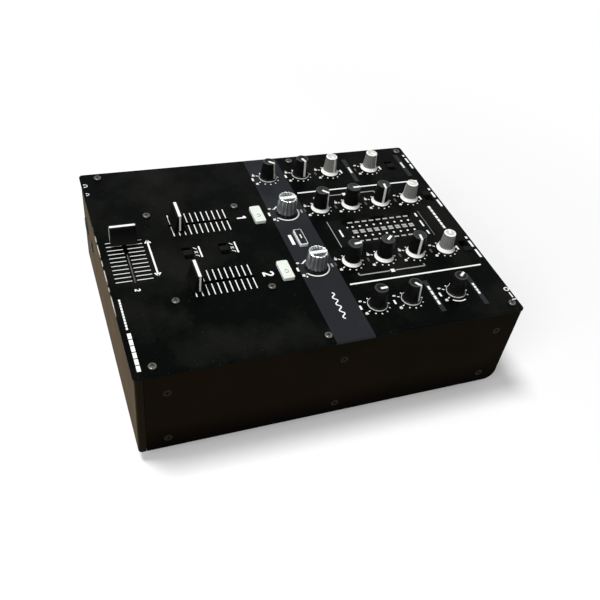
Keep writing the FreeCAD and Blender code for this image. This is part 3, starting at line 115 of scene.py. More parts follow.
def texture_scale(size_mm: float) -> float:
    """Scale of a texture whose patches or cells have a size in millimetres."""
    return 1.0 / (size_mm * MM)


@dataclass(frozen=True)
class Finish:
    """A solid finish: two close tones in soft patches, uneven gloss and a fine grain.

    The patches are what handling leaves, and the grain is the mould's or the coating's own. Real grain of
    0.05 to 0.2 mm is too fine to show at half a millimetre a pixel, so grain_mm draws it coarser.
    """

    name: str
    colour: str
    second: str                     # tone of the patches
    roughness: tuple[float, float]  # smoothest and roughest patch
    patch_mm: float = 18.0
    grain_mm: float = 0.5
    grain_height_mm: float = 0.012
    grain_stretch: tuple[float, float, float] = (1.0, 1.0, 1.0)
    metallic: float = 0.0
    specular: float = 0.5
    dust: float = 0.0               # weight of a dusty sheen, seen along the surface
    dust_roughness: float = 0.4
    dust_tint: str = "#ffffff"
    made: ClassVar[dict[str, bpy.types.Material]] = {}

    def material(self) -> bpy.types.Material:
        """Give the finish's material, made on first use.

        Returns:
            The material, the same one each time.
        """
        if self.name not in self.made:
            material = bpy.data.materials.new(self.name)
            material.use_nodes = True
            tree = material.node_tree
            tree.nodes.clear()
            place = add_node(tree, "ShaderNodeTexCoord").outputs["Object"]
            shader = add_node(tree, "ShaderNodeBsdfPrincipled", {
                "Base Color": self.tone(tree, place), "Roughness": self.gloss(tree, place),
                "Normal": self.relief(tree, place), "Metallic": self.metallic,
                "Specular IOR Level": self.specular, "Sheen Weight": self.dust,
                "Sheen Roughness": self.dust_roughness, "Sheen Tint": linear(self.dust_tint)})
            add_node(tree, "ShaderNodeOutputMaterial", {"Surface": shader.outputs["BSDF"]})
            self.made[self.name] = material
        return self.made[self.name]

    def handled(self, tree: bpy.types.NodeTree, place: bpy.types.NodeSocket) -> bpy.types.NodeSocket:
        """Where handling has changed the tone: soft noise, cut to patches.

        Args:
            tree: The material's nodes.
            place: Object coordinates.

        Returns:
            Share from 0 to 1.
        """
        noise = add_node(tree, "ShaderNodeTexNoise", {
            "Vector": place, "Scale": texture_scale(self.patch_mm), "Detail": 4.0, "Roughness": NOISE_FADE})
        share = add_node(tree, "ShaderNodeMapRange", {
            "Value": noise.outputs["Fac"], "From Min": PATCH_CUT[0], "From Max": PATCH_CUT[1]})
        return share.outputs["Result"]

    def tone(self, tree: bpy.types.NodeTree, place: bpy.types.NodeSocket) -> bpy.types.NodeSocket:
        """Base colour: the two tones in soft patches.

        Args:
            tree: The material's nodes.
            place: Object coordinates.

        Returns:
            Colour socket.
        """
        mix = add_node(tree, "ShaderNodeMix", {
            SHARE: self.handled(tree, place), COLOUR_A: linear(self.colour), COLOUR_B: linear(self.second)},
            data_type="RGBA")
        return mix.outputs[COLOUR_MIX]

    def gloss(self, tree: bpy.types.NodeTree, place: bpy.types.NodeSocket) -> bpy.types.NodeSocket:
        """Roughness: finer patches between the finish's two limits.

        Args:
            tree: The material's nodes.
            place: Object coordinates.

        Returns:
            Value socket.
        """
        fine = add_node(tree, "ShaderNodeTexNoise", {
            "Vector": place, "Scale": texture_scale(self.patch_mm * GLOSS_PATCH), "Detail": 6.0,
            "Roughness": NOISE_FADE})
        smooth, rough = self.roughness
        span = add_node(tree, "ShaderNodeMapRange", {
            "Value": fine.outputs["Fac"], "From Min": GLOSS_CUT[0], "From Max": GLOSS_CUT[1],
            "To Min": smooth, "To Max": rough})
        return span.outputs["Result"]

    def relief(self, tree: bpy.types.NodeTree, place: bpy.types.NodeSocket) -> bpy.types.NodeSocket:
        """Normal: the fine grain, stretched where the finish is turned or drawn.

        Args:
            tree: The material's nodes.
            place: Object coordinates.

        Returns:
            Normal socket.
        """
        stretched = add_node(tree, "ShaderNodeMapping", {"Vector": place, "Scale": self.grain_stretch})
        grain = add_node(tree, "ShaderNodeTexNoise", {
            "Vector": stretched.outputs["Vector"], "Scale": texture_scale(self.grain_mm), "Detail": 2.0,
            "Roughness": NOISE_FADE})
        bump = add_node(tree, "ShaderNodeBump", {
            "Height": grain.outputs["Fac"], "Strength": GRAIN_STRENGTH,
            "Distance": self.grain_height_mm * MM})
        return bump.outputs["Normal"]


@dataclass(frozen=True)
class PanelPaint(Finish):
    """Black satin coat of the top plate, with a paler glossy band across it, wiped marks, dust and a painted
    highlight along its front edge.

    The band is part of the print, and the dust gathers in the coat's grain.
    """

    band: tuple[float, float] = (0.0, 0.0)    # front and rear of the band, in metres
    band_colour: str = "#26282c"
    band_second: str = "#303237"
    band_gloss: float = 0.24
    dust_colour: str = "#4c4b46"
    dust_mm: float = 1.6                      # real specks are 0.2 mm; drawn coarser so that they show
    dust_cut: tuple[float, float] = (0.72, 0.78)       # noise values between which a speck fades in
    dust_share: float = 0.4                   # how far a speck hides the coat
    wipe_mm: float = 55.0
    wipe_cut: tuple[float, float] = (0.46, 0.72)       # noise values between which a wiped mark fades in
    wipe_gloss_mm: float = 27.5
    front_m: float = 0.0                      # the plate's front edge
    top_m: float = 0.0                        # the plate's top
    highlight_width_m: float = 0.0008                    # width of the painted highlight along the edge
    highlight_break_mm: float = 9.0                       # length of its broken bits
    highlight_break_cut: tuple[float, float] = (0.42, 0.52)        # noise values between which a bit fades in
    # colour of the painted highlight along the front edge
    highlight_colour: str = "#e4e1d8"
    highlight_span: tuple[float, float] = (-0.045, 0.06)    # where along X the painted highlight lies, in metres
    highlight_full: float = 0.7                    # inner share of that span where the painted highlight is full

    def in_band(self, tree: bpy.types.NodeTree, place: bpy.types.NodeSocket) -> bpy.types.NodeSocket:
        """1 inside the band and 0 outside it.

        Args:
            tree: The material's nodes.
            place: Object coordinates.

        Returns:
            Value socket.
        """
        along = add_node(tree, "ShaderNodeSeparateXYZ", {0: place}).outputs["Y"]
        front, rear = self.band
        inside = add_node(tree, "ShaderNodeMath", {
            0: along, 1: (front + rear) / 2, 2: (rear - front) / 2}, operation="COMPARE")
        return inside.outputs[0]

    def tone(self, tree: bpy.types.NodeTree, place: bpy.types.NodeSocket) -> bpy.types.NodeSocket:
        """Base colour: wiped patches, the band, a few specks of dust and a painted highlight along the front edge.

        Args:
            tree: The material's nodes.
            place: Object coordinates.

        Returns:
            Colour socket.
        """
        wipe = add_node(tree, "ShaderNodeTexNoise", {
            "Vector": place, "Scale": texture_scale(self.wipe_mm), "Detail": 8.0, "Roughness": NOISE_FADE})
        wiped = add_node(tree, "ShaderNodeMapRange", {
            "Value": wipe.outputs["Fac"], "From Min": self.wipe_cut[0],
            "From Max": self.wipe_cut[1]}).outputs["Result"]
        coat = add_node(tree, "ShaderNodeMix", {
            SHARE: wiped, COLOUR_A: linear(self.colour), COLOUR_B: linear(self.second)}, data_type="RGBA")
        strip = add_node(tree, "ShaderNodeMix", {
            SHARE: wiped, COLOUR_A: linear(self.band_colour), COLOUR_B: linear(self.band_second)},
            data_type="RGBA")
        painted = add_node(tree, "ShaderNodeMix", {
            SHARE: self.in_band(tree, place), COLOUR_A: coat.outputs[COLOUR_MIX],
            COLOUR_B: strip.outputs[COLOUR_MIX]}, data_type="RGBA")
        grit = add_node(tree, "ShaderNodeTexNoise", {
            "Vector": place, "Scale": texture_scale(self.dust_mm), "Detail": 1.0, "Roughness": NOISE_FADE})
        specks = add_node(tree, "ShaderNodeMapRange", {
            "Value": grit.outputs["Fac"], "From Min": self.dust_cut[0], "From Max": self.dust_cut[1],
            "To Max": self.dust_share})
        dusty = add_node(tree, "ShaderNodeMix", {
            SHARE: specks.outputs["Result"], COLOUR_A: painted.outputs[COLOUR_MIX],
            COLOUR_B: linear(self.dust_colour)}, data_type="RGBA")
        # painted highlight along the front edge
        with_highlight = add_node(tree, "ShaderNodeMix", {
            SHARE: self.painted_highlight_share(tree, place), COLOUR_A: dusty.outputs[COLOUR_MIX],
            COLOUR_B: linear(self.highlight_colour)}, data_type="RGBA")
        return with_highlight.outputs[COLOUR_MIX]

    def painted_highlight_share(self, tree: bpy.types.NodeTree, place: bpy.types.NodeSocket) -> bpy.types.NodeSocket:
        """Share of the painted highlight: broken stretches along the front edge, where its bevel would catch the
        light.

        It is the product of being near the edge, near the top, within the span along X, and in a
        patch of noise.

        Args:
            tree: The material's nodes.
            place: Object coordinates.

        Returns:
            Share from 0 to 1.
        """
        axes = add_node(tree, "ShaderNodeSeparateXYZ", {0: place}).outputs
        left, right = self.highlight_span
        half = (right - left) / 2
        edge = add_node(tree, "ShaderNodeMapRange", {
            "Value": axes["Y"], "From Min": self.front_m, "From Max": self.front_m + self.highlight_width_m,
            "To Min": 1.0, "To Max": 0.0})
        high = add_node(tree, "ShaderNodeMapRange", {
            "Value": axes["Z"], "From Min": self.top_m - self.highlight_width_m,
            "From Max": self.top_m - self.highlight_width_m / 2})
        off = add_node(tree, "ShaderNodeMath", {0: axes["X"], 1: (left + right) / 2}, operation="SUBTRACT")
        away = add_node(tree, "ShaderNodeMath", {0: off.outputs[0]}, operation="ABSOLUTE")
        near = add_node(tree, "ShaderNodeMapRange", {
            "Value": away.outputs[0], "From Min": half * self.highlight_full, "From Max": half,
            "To Min": 1.0, "To Max": 0.0})
        noise = add_node(tree, "ShaderNodeTexNoise", {
            "Vector": place, "Scale": texture_scale(self.highlight_break_mm), "Detail": 3.0, "Roughness": NOISE_FADE})
        broken = add_node(tree, "ShaderNodeMapRange", {
            "Value": noise.outputs["Fac"], "From Min": self.highlight_break_cut[0], "From Max": self.highlight_break_cut[1]})
        share = edge.outputs["Result"]
        for factor in (high, near, broken):
            share = add_node(tree, "ShaderNodeMath", {
                0: share, 1: factor.outputs["Result"]}, operation="MULTIPLY").outputs[0]
        return share

    def gloss(self, tree: bpy.types.NodeTree, place: bpy.types.NodeSocket) -> bpy.types.NodeSocket:
        """Roughness: wiped patches, smoother inside the band.

        Args:
            tree: The material's nodes.
            place: Object coordinates.

        Returns:
            Value socket.
        """
        wipe = add_node(tree, "ShaderNodeTexNoise", {
            "Vector": place, "Scale": texture_scale(self.wipe_gloss_mm), "Detail": 8.0,
            "Roughness": NOISE_FADE})
        smooth, rough = self.roughness
        wiped = add_node(tree, "ShaderNodeMapRange", {
            "Value": wipe.outputs["Fac"], "From Min": GLOSS_CUT[0], "From Max": GLOSS_CUT[1],
            "To Min": smooth, "To Max": rough})
        mix = add_node(tree, "ShaderNodeMix", {
            SHARE: self.in_band(tree, place), VALUE_A: wiped.outputs["Result"], VALUE_B: self.band_gloss},
            data_type="FLOAT")
        return mix.outputs[VALUE_MIX]


@dataclass(frozen=True)
class CaseCoat(Finish):
    """Black powder coat with a warm brown that is a painted reflection, and painted shade that keeps it black at
    the case's foot.
    """

    # painted shade near the floor: its two tones, and the heights over which it fades out
    foot: str = "#030201"
    foot_shade_second: str = "#040302"
    foot_shade_m: tuple[float, float] = (0.012, 0.036)    # heights where the painted shade ends and the painted brown is full, in metres

    def tone(self, tree: bpy.types.NodeTree, place: bpy.types.NodeSocket) -> bpy.types.NodeSocket:
        """Base colour: two tones in patches, with painted shade that makes it blacker towards the floor.

        Args:
            tree: The material's nodes.
            place: Object coordinates.

        Returns:
            Colour socket.
        """
        share = self.handled(tree, place)
        high = add_node(tree, "ShaderNodeMix", {
            SHARE: share, COLOUR_A: linear(self.colour), COLOUR_B: linear(self.second)}, data_type="RGBA")
        low = add_node(tree, "ShaderNodeMix", {
            SHARE: share, COLOUR_A: linear(self.foot), COLOUR_B: linear(self.foot_shade_second)},
            data_type="RGBA")
        # painted shade: black at the floor, fading out between the two heights
        height = add_node(tree, "ShaderNodeSeparateXYZ", {0: place}).outputs["Z"]
        rise = add_node(tree, "ShaderNodeMapRange", {
            "Value": height, "From Min": self.foot_shade_m[0], "From Max": self.foot_shade_m[1]})
        mix = add_node(tree, "ShaderNodeMix", {
            SHARE: rise.outputs["Result"], COLOUR_A: low.outputs[COLOUR_MIX],
            COLOUR_B: high.outputs[COLOUR_MIX]}, data_type="RGBA")
        return mix.outputs[COLOUR_MIX]


@dataclass(frozen=True)
class RowPlastic(Finish):
    """Moulded plastic in two colours, one below and one above a height, as on paired sockets."""

    upper: str = "#e8e6df"
    upper_second: str = "#dcdad2"
    split_m: float = 0.0            # height of the change, in metres

    def tone(self, tree: bpy.types.NodeTree, place: bpy.types.NodeSocket) -> bpy.types.NodeSocket:
        """Base colour by height.

        Args:
            tree: The material's nodes.
            place: Object coordinates.

        Returns:
            Colour socket.
        """
        share = self.handled(tree, place)
        low = add_node(tree, "ShaderNodeMix", {
            SHARE: share, COLOUR_A: linear(self.colour), COLOUR_B: linear(self.second)}, data_type="RGBA")
        high = add_node(tree, "ShaderNodeMix", {
            SHARE: share, COLOUR_A: linear(self.upper), COLOUR_B: linear(self.upper_second)},
            data_type="RGBA")
        height = add_node(tree, "ShaderNodeSeparateXYZ", {0: place}).outputs["Z"]
        above = add_node(tree, "ShaderNodeMath", {0: height, 1: self.split_m}, operation="GREATER_THAN")
        mix = add_node(tree, "ShaderNodeMix", {
            SHARE: above.outputs[0], COLOUR_A: low.outputs[COLOUR_MIX], COLOUR_B: high.outputs[COLOUR_MIX]},
            data_type="RGBA")
        return mix.outputs[COLOUR_MIX]


@dataclass(frozen=True)
class BoardLacquer(Finish):
    """Green solder lacquer over copper tracks, which show as a paler maze of straight runs."""

    track_mm: float = 2.4           # real tracks are 0.3 mm apart; drawn coarser so that they show
    run: float = 4.0                # length of a straight run, in spaces between tracks
    track_share: float = 0.12       # width of a track, in the same

    def tone(self, tree: bpy.types.NodeTree, place: bpy.types.NodeSocket) -> bpy.types.NodeSocket:
        """Base colour: tracks from a brick pattern.

        Args:
            tree: The material's nodes.
            place: Object coordinates.

        Returns:
            Colour socket.
        """
        cell = self.track_mm * MM
        tracks = add_node(tree, "ShaderNodeTexBrick", {
            "Vector": place, "Scale": 1.0, "Brick Width": self.run * cell, "Row Height": cell,
            "Mortar Size": self.track_share * cell, "Color1": linear(self.colour),
            "Color2": linear(self.colour), "Mortar": linear(self.second)})
        return tracks.outputs["Color"]


class Gloss(Enum):
    """Roughness limits of the plastics."""

    SATIN = (0.3, 0.42)
    DULL = (0.45, 0.6)


# Meshes worked out as arrays

@dataclass
class Shell:
    """A closed surface in millimetres: its points, its four-sided faces and its end caps."""

    points: np.ndarray
    quads: np.ndarray
    caps: list[np.ndarray] = field(default_factory=list)

    def mapped(self, change: Callable[[np.ndarray], np.ndarray]) -> "Shell":
        """Give a copy whose points have gone through a change."""
        return Shell(change(self.points), self.quads, self.caps)

    def at(self, x: float, y: float, z: float = 0.0, clockwise: float = 0.0) -> "Shell":
        """Give a copy turned about Z and then moved.

        Args:
            x: Move along X, in millimetres.
            y: Move along Y.
            z: Move along Z.
            clockwise: Degrees of the turn, seen from above.

        Returns:
            The copy.
        """
        angle = -math.radians(clockwise)
        c, s = math.cos(angle), math.sin(angle)
        turn = np.array([[c, s, 0.0], [-s, c, 0.0], [0.0, 0.0, 1.0]])
        return self.mapped(lambda p: p @ turn + np.array([x, y, z]))

    def on_rear(self, x: float, y: float, z: float) -> "Shell":
        """Give a copy of a flat shape stood on a rear face, read from behind."""
        return self.mapped(lambda p: np.stack([x - p[:, 0], y + p[:, 2], z + p[:, 1]], -1))

    def on_front(self, x: float, y: float, z: float) -> "Shell":
        """Give a copy of a flat shape stood on a front face, read from the front."""
        return self.mapped(lambda p: np.stack([x + p[:, 0], y - p[:, 2], z + p[:, 1]], -1))


def grid_quads(rows: int, cols: int, close_rows: bool, close_cols: bool) -> np.ndarray:
    """Faces of a grid of points: each joins a point to the next in its row and column.

    Args:
        rows: Points along the first parameter.
        cols: Points along the second parameter.
        close_rows: Whether the last row joins the first.
        close_cols: Whether the last column joins the first.

    Returns:
        Point numbers, four a face.
    """
    i = np.arange(rows if close_rows else rows - 1)
    j = np.arange(cols if close_cols else cols - 1)
    a, b = np.meshgrid(i, j, indexing="ij")
    c, d = (a + 1) % rows, (b + 1) % cols
    return np.stack([a * cols + b, c * cols + b, c * cols + d, a * cols + d], -1).reshape(-1, 4)


def lathe(profile: Sequence[tuple[float, float]], segments: int = 72,
          ripple: Callable[[np.ndarray, np.ndarray], np.ndarray] | None = None, ring: bool = False) -> Shell:
    """Turn a profile round Z: the point at angle a is (r cos a, r sin a, z).

    Args:
        profile: Radius and height; it starts and ends on the axis, unless it is a ring's.
        segments: Points round the axis.
        ripple: Gives the factor on the radius from the angle and the height.
        ring: Whether the profile is a closed loop away from the axis.

    Returns:
        The closed surface.
    """
    line = np.array(profile, float)
    angle = np.linspace(0.0, 2 * np.pi, segments, endpoint=False)[None, :]
    height = np.repeat(line[:, 1:2], segments, 1)
    radius = np.repeat(line[:, 0:1], segments, 1)
    if ripple is not None:
        radius = radius * ripple(angle, height)
    points = np.stack([radius * np.cos(angle), radius * np.sin(angle), height], -1).reshape(-1, 3)
    return Shell(points, grid_quads(len(line), segments, ring, True))


def stack(outlines: Sequence[np.ndarray], heights: Sequence[float]) -> Shell:
    """Join outlines of equal point counts, one above the other, and close both ends.

    Args:
        outlines: Points along X and Y of each level.
        heights: Height of each level.

    Returns:
        The closed surface.
    """
    count = len(outlines[0])
    levels = [np.column_stack([line, np.full(count, z)]) for line, z in zip(outlines, heights)]
    ends = [np.arange(count), np.arange(count) + count * (len(levels) - 1)]
    return Shell(np.concatenate(levels), grid_quads(len(levels), count, False, True), ends)


def round_box(width: float, depth: float, radius: float, corner_points: int = 7) -> np.ndarray:
    """Outline of a rectangle with round corners: a quarter arc about each corner's centre.

    Args:
        width: Size along X.
        depth: Size along Y.
        radius: Radius of the corners.
        corner_points: Points on each arc.

    Returns:
        Points along X and Y.
    """
    sweep = np.linspace(0.0, np.pi / 2, corner_points)
    quarter = np.arange(4).repeat(corner_points)
    angle = np.tile(sweep, 4) + quarter * np.pi / 2
    side_x = np.array([1, -1, -1, 1])[quarter] * (width / 2 - radius)
    side_y = np.array([1, 1, -1, -1])[quarter] * (depth / 2 - radius)
    return np.column_stack([side_x + radius * np.cos(angle), side_y + radius * np.sin(angle)])


def ribbon(path: np.ndarray, side: np.ndarray, width: float, depth: float, closed: bool = False) -> Shell:
    """Carry a flat rectangle along a path, with its top on the path and its depth below it.

    The corners lie half the width to each side; down is against the cross product of the path's
    direction and the side direction.

    Args:
        path: Points in space.
        side: Unit sideways direction at each point.
        width: Width across the path.
        depth: Thickness below it.
        closed: Whether the path's end joins its start.

    Returns:
        The closed surface.
    """
    if closed:
        ahead = np.roll(path, -1, 0) - np.roll(path, 1, 0)
    else:
        ahead = np.gradient(path, axis=0)
    up = np.cross(ahead, side)
    up = up / np.linalg.norm(up, axis=1, keepdims=True)
    left, right = path + side * width / 2, path - side * width / 2
    points = np.stack([left, right, right - up * depth, left - up * depth], 1).reshape(-1, 3)
    count = len(path)
    caps = [] if closed else [np.arange(4), np.arange(4) + 4 * (count - 1)]
    return Shell(points, grid_quads(count, 4, closed, True), caps)


def upright_ribbon(path: np.ndarray, width: float, depth: float, side: float = -1.0) -> Shell:
    """Ribbon along a path in a plane of Y and Z, with its width along X and its side towards -X or +X."""
    return ribbon(path, np.tile([side, 0.0, 0.0], (len(path), 1)), width, depth)


INK_MM = 0.05                  # height of printed ink above the panel
DOT_SEGMENTS = 14


def stroke(path: Sequence[tuple[float, float]] | np.ndarray, width: float, closed: bool = False,
           height: float = INK_MM) -> Shell:
    """Flat line of ink along a path in the panel's plane: a ribbon whose sides lie square to the path.

    Args:
        path: Points along X and Y.
        width: Width of the line.
        closed: Whether the path's end joins its start.
        height: Top of the ink, whose foot is at 0.

    Returns:
        The closed surface.
    """
    flat = np.array(path, float)
    line = np.column_stack([flat, np.full(len(flat), height)])
    ahead = np.roll(line, -1, 0) - np.roll(line, 1, 0) if closed else np.gradient(line, axis=0)
    side = np.column_stack([-ahead[:, 1], ahead[:, 0], np.zeros(len(flat))])
    side = side / np.linalg.norm(side, axis=1, keepdims=True)
    return ribbon(line, side, width, height, closed)


def dash(start: float, end: float, width: float, height: float = INK_MM) -> Shell:
    """Straight line of ink along X, from one place to another."""
    return stroke([(start, 0.0), (end, 0.0)], width, height=height)


def arc(radius: float, start: float, end: float, x: float = 0.0, y: float = 0.0,
        count: int = 33) -> np.ndarray:
    """Points of an arc about a centre, with its angles in degrees clockwise from +Y."""
    angle = np.radians(np.linspace(start, end, count))
    return np.column_stack([x + radius * np.sin(angle), y + radius * np.cos(angle)])


def arc_point(radius: float, angle: float) -> np.ndarray:
    """One point at a radius and at an angle in degrees clockwise from +Y."""
    return arc(radius, angle, angle, count=1)[0]


def dot(radius: float, x: float = 0.0, y: float = 0.0, height: float = INK_MM) -> Shell:
    """Round spot of ink: a flat rectangle turned round its own axis."""
    return lathe([(0, 0), (radius, 0), (radius, height), (0, height)], DOT_SEGMENTS).at(x, y)


def make_piece(name: str, shells: Sequence[Shell], finish: Finish, body: str = CASE,
               replaces: Sequence[str] = (), crease: float = 38.0) -> bpy.types.Object:
    """Put shells into one mesh object that rides on a body.

    Args:
        name: The piece's name.
        shells: Closed surfaces in millimetres, in the part's frame.
        finish: What the piece is made of.
        body: The body it moves with.
        replaces: Nodes that it stands for.
        crease: Edges sharper than this many degrees stay sharp.

    Returns:
        The object.
    """
    points, faces, start = [], [], 0
    for shell in shells:
        points.append(shell.points)
        faces += (shell.quads + start).tolist()
        faces += [(cap + start).tolist() for cap in shell.caps]
        start += len(shell.points)
    mesh = bpy.data.meshes.new(name)
    mesh.from_pydata((np.concatenate(points) * MM).tolist(), [], faces)
    bm = bmesh.new()
    bm.from_mesh(mesh)
    bmesh.ops.remove_doubles(bm, verts=bm.verts, dist=MERGE_M)
    bmesh.ops.recalc_face_normals(bm, faces=bm.faces)
    bm.to_mesh(mesh)
    bm.free()
    mesh.polygons.foreach_set("use_smooth", np.ones(len(mesh.polygons), bool))
    mesh.set_sharp_from_angle(angle=math.radians(crease))
    mesh.materials.append(finish.material())
    piece = bpy.data.objects.new(name, mesh)
    bpy.context.scene.collection.objects.link(piece)
    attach(piece, body)
    if replaces:
        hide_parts(*replaces)
    LOG.info("%s: %d faces on %s", name, len(mesh.polygons), body)
    return piece


# Places read from the frame

def box_mm(node: str) -> tuple[np.ndarray, np.ndarray]:
    """Lowest and highest corner of a node, in millimetres."""
    low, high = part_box(node)
    return np.array(low) / MM, np.array(high) / MM


def middle_mm(node: str) -> np.ndarray:
    """Middle of a node's box, in millimetres."""
    return sum(box_mm(node)) / 2


def joint_of(body: str) -> dict[str, Any]:
    """The joint that moves a body."""
    return next(joint for joint in frame["joints"] if joint["child"] == body)


PANEL_LOW, PANEL_HIGH = box_mm("top_panel")
PANEL_TOP = float(PANEL_HIGH[2])
PANEL_Y = float(PANEL_LOW[1] + PANEL_HIGH[1]) / 2
REAR_FACE = float(box_mm("rear_panel")[1][1])
FRONT_FACE = float(box_mm("front_panel")[0][1])


# Finishes

BAND_FRONT, BAND_REAR = -8.0, 22.0      # the paler band on the plate, from the plate's middle
BAND = ((PANEL_Y + BAND_FRONT) * MM, (PANEL_Y + BAND_REAR) * MM)

# Steel sheet with a satin powder coat: near black, with grey wiped marks, a soft glare from the lamp and a painted
# highlight along the front edge.
PANEL_COAT = PanelPaint("satin_powder_coated_steel", "#040605", "#191a17", (0.34, 0.5), grain_mm=0.6,
                        grain_height_mm=0.02, specular=0.013, band=BAND, front_m=float(PANEL_LOW[1]) * MM,
                        top_m=PANEL_TOP * MM)
# The same coat on the upright sheets: black that hardly shines, a warm brown that is a painted reflection, and
# painted shade that makes it darkest near the floor.
CASE_COAT = CaseCoat("powder_coated_case_steel", "#100c05", "#160f07", (0.36, 0.5), patch_mm=70.0,
                     grain_mm=0.7, grain_height_mm=0.03, specular=0.005)
# Powder coat with dust in its grain: dark from the front, pale and warm when seen along the sheet; the warm tint
# of its dark base is a painted reflection, as on the case.
FRONT_COAT = Finish("dusty_powder_coated_steel", "#120e08", "#18120b", (0.55, 0.7), patch_mm=40.0,
                    grain_mm=0.7, grain_height_mm=0.03, specular=0.01, dust=0.16, dust_tint="#b89d72")
# Plain powder coat underneath: neutral black with a dull shine.
TRAY_COAT = Finish("powder_coated_tray_steel", "#131313", "#1b1b1b", (0.45, 0.6), patch_mm=70.0,
                   grain_mm=0.7, grain_height_mm=0.03, specular=0.1)
# ABS moulded in an eroded mould: black with a low, even shine.
BLACK_ABS = Finish("moulded_black_abs", "#0a0a0a", "#101010", Gloss.SATIN.value, patch_mm=9.0,
                   grain_mm=0.35, specular=0.12)
# Dark grey ABS insert: a shade paler than the grip round it.
GREY_DISC = Finish("moulded_dark_grey_abs", "#25282a", "#2d3032", Gloss.SATIN.value, patch_mm=5.0,
                   grain_mm=0.3, specular=0.12)
# Mid grey ABS: dull, so that the ribs show as soft stripes.
GREY_ABS = Finish("moulded_grey_abs", "#7c7d78", "#888983", Gloss.DULL.value, patch_mm=9.0, grain_mm=0.35)
# Pale grey ABS insert: nearly white in the light.
PALE_DISC = Finish("moulded_pale_grey_abs", "#c3c4be", "#d2d3cd", Gloss.SATIN.value, patch_mm=5.0,
                   grain_mm=0.3)
# Grey ABS on a rounded edge: a thin paler line round the top, a painted highlight on the rim of a dark knob.
RIM_PAINTED_HIGHLIGHT = Finish("moulded_grey_abs_rim", "#3a3c3b", "#454746", Gloss.SATIN.value, patch_mm=4.0,
                  grain_mm=0.3, specular=0.12)
# White ABS of pointers and skirts: clean white with a satin shine.
WHITE_ABS = Finish("moulded_white_abs", "#fafaf8", "#f1f1ee", Gloss.SATIN.value, patch_mm=7.0, grain_mm=0.3)
# Off-white line on a black skirt's moulded edge: a painted highlight.
SKIRT_RIM_HIGHLIGHT = Finish("painted_skirt_rim_highlight", "#dcdcd8", "#cfcfca", Gloss.SATIN.value, patch_mm=4.0, grain_mm=0.3)
# ABS under a silver lacquer: a soft grey metal without grain.
SILVER_PLATE = Finish("lacquered_silver_abs", "#9a9e9e", "#a4a8a8", (0.26, 0.32), patch_mm=30.0,
                      grain_mm=0.3, grain_height_mm=0.0, metallic=0.8)
# Plated ABS, polished, coloured near white on the ridge and lip: a painted highlight.
PLATE_PAINTED_HIGHLIGHT = Finish("plated_abs_painted_highlight", "#f8fafa", "#eef0f0", (0.16, 0.22), patch_mm=30.0, grain_mm=0.3,
                      grain_height_mm=0.0, metallic=0.6)
# Plated ABS left satin, coloured dark blue-grey in the hollows: painted shade.
PLATE_PAINTED_SHADE = Finish("plated_abs_painted_shade", "#42494c", "#4e5558", (0.26, 0.34), patch_mm=30.0, grain_mm=0.3,
                    grain_height_mm=0.0, metallic=0.8)
# ABS with a fine mould texture: deep black, dull on the sides.
CAP_ABS = Finish("moulded_fader_cap_abs", "#080808", "#0e0e0e", Gloss.SATIN.value, patch_mm=8.0,
                 grain_mm=0.3, specular=0.08)
# Milky ABS that lets a lamp through: greenish white, soft.
BUTTON_WHITE = Finish("moulded_milky_abs", "#e4eae1", "#dbe2d8", Gloss.SATIN.value, patch_mm=8.0,
                      grain_mm=0.3, grain_height_mm=0.006)
# Frosted acrylic rim: pale grey, a little uneven.
BUTTON_FROST = Finish("frosted_acrylic", "#d5d9da", "#e2e5e5", Gloss.SATIN.value, patch_mm=5.0,
                      grain_mm=0.3)
# Pad-printed ink: flat mid grey.
BUTTON_INK = Finish("pad_printed_grey_ink", "#6c716c", "#5d625d", Gloss.DULL.value, patch_mm=4.0)
# ABS rubbed by fingers: dark grey and dull.
SWITCH_ABS = Finish("moulded_switch_abs", "#131416", "#1a1b1d", Gloss.DULL.value, patch_mm=5.0,
                    grain_mm=0.3, specular=0.1)
# Screen-printed inks: flat, dull, with crisp edges.
WHITE_INK = Finish("screened_white_ink", "#fafbf8", "#eef0ec", Gloss.DULL.value, patch_mm=14.0,
                   grain_mm=0.3)
SOFT_INK = Finish("screened_grey_ink", "#a9aaa4", "#9a9b96", Gloss.DULL.value, patch_mm=14.0, grain_mm=0.3)
FAINT_INK = Finish("screened_brown_ink", "#55524a", "#4a473f", Gloss.DULL.value, patch_mm=14.0,
                   grain_mm=0.3, specular=0.1)
BAR_INK = Finish("screened_dark_ink", "#26272a", "#2c2d30", Gloss.DULL.value, patch_mm=14.0, grain_mm=0.3,
                 specular=0.05)
# Cast smoked acrylic: black glass with clear reflections.
SMOKED = Finish("cast_smoked_acrylic", "#050606", "#080909", (0.1, 0.16), patch_mm=30.0, grain_mm=3.0,
                grain_height_mm=0.004, specular=0.03)
# Moulded acrylic with white filler: unlit lights, milky grey.
MILKY = Finish("moulded_milky_acrylic", "#b6b8b2", "#a4a6a0", Gloss.SATIN.value, patch_mm=4.0, grain_mm=0.4)
# Dark nickel on steel: grey metal whose edges glint.
DARK_NICKEL = Finish("dark_nickel_plated_steel", "#56544f", "#6b6964", (0.26, 0.4), patch_mm=2.5,
                     grain_mm=0.3, grain_height_mm=0.01, metallic=1.0)
# Blackened steel: nearly as dark as the coat round it, with a faint oily shine.
BLACK_OXIDE = Finish("blackened_steel", "#130f0a", "#1b160f", (0.28, 0.42), patch_mm=3.0, grain_mm=0.4,
                     specular=0.045)
# Nickel on brass: bright and slightly warm.
NICKEL = Finish("nickel_plated_brass", "#b9b4a9", "#cbc7bd", (0.18, 0.3), patch_mm=3.0, grain_mm=0.5,
                grain_height_mm=0.006, metallic=1.0)
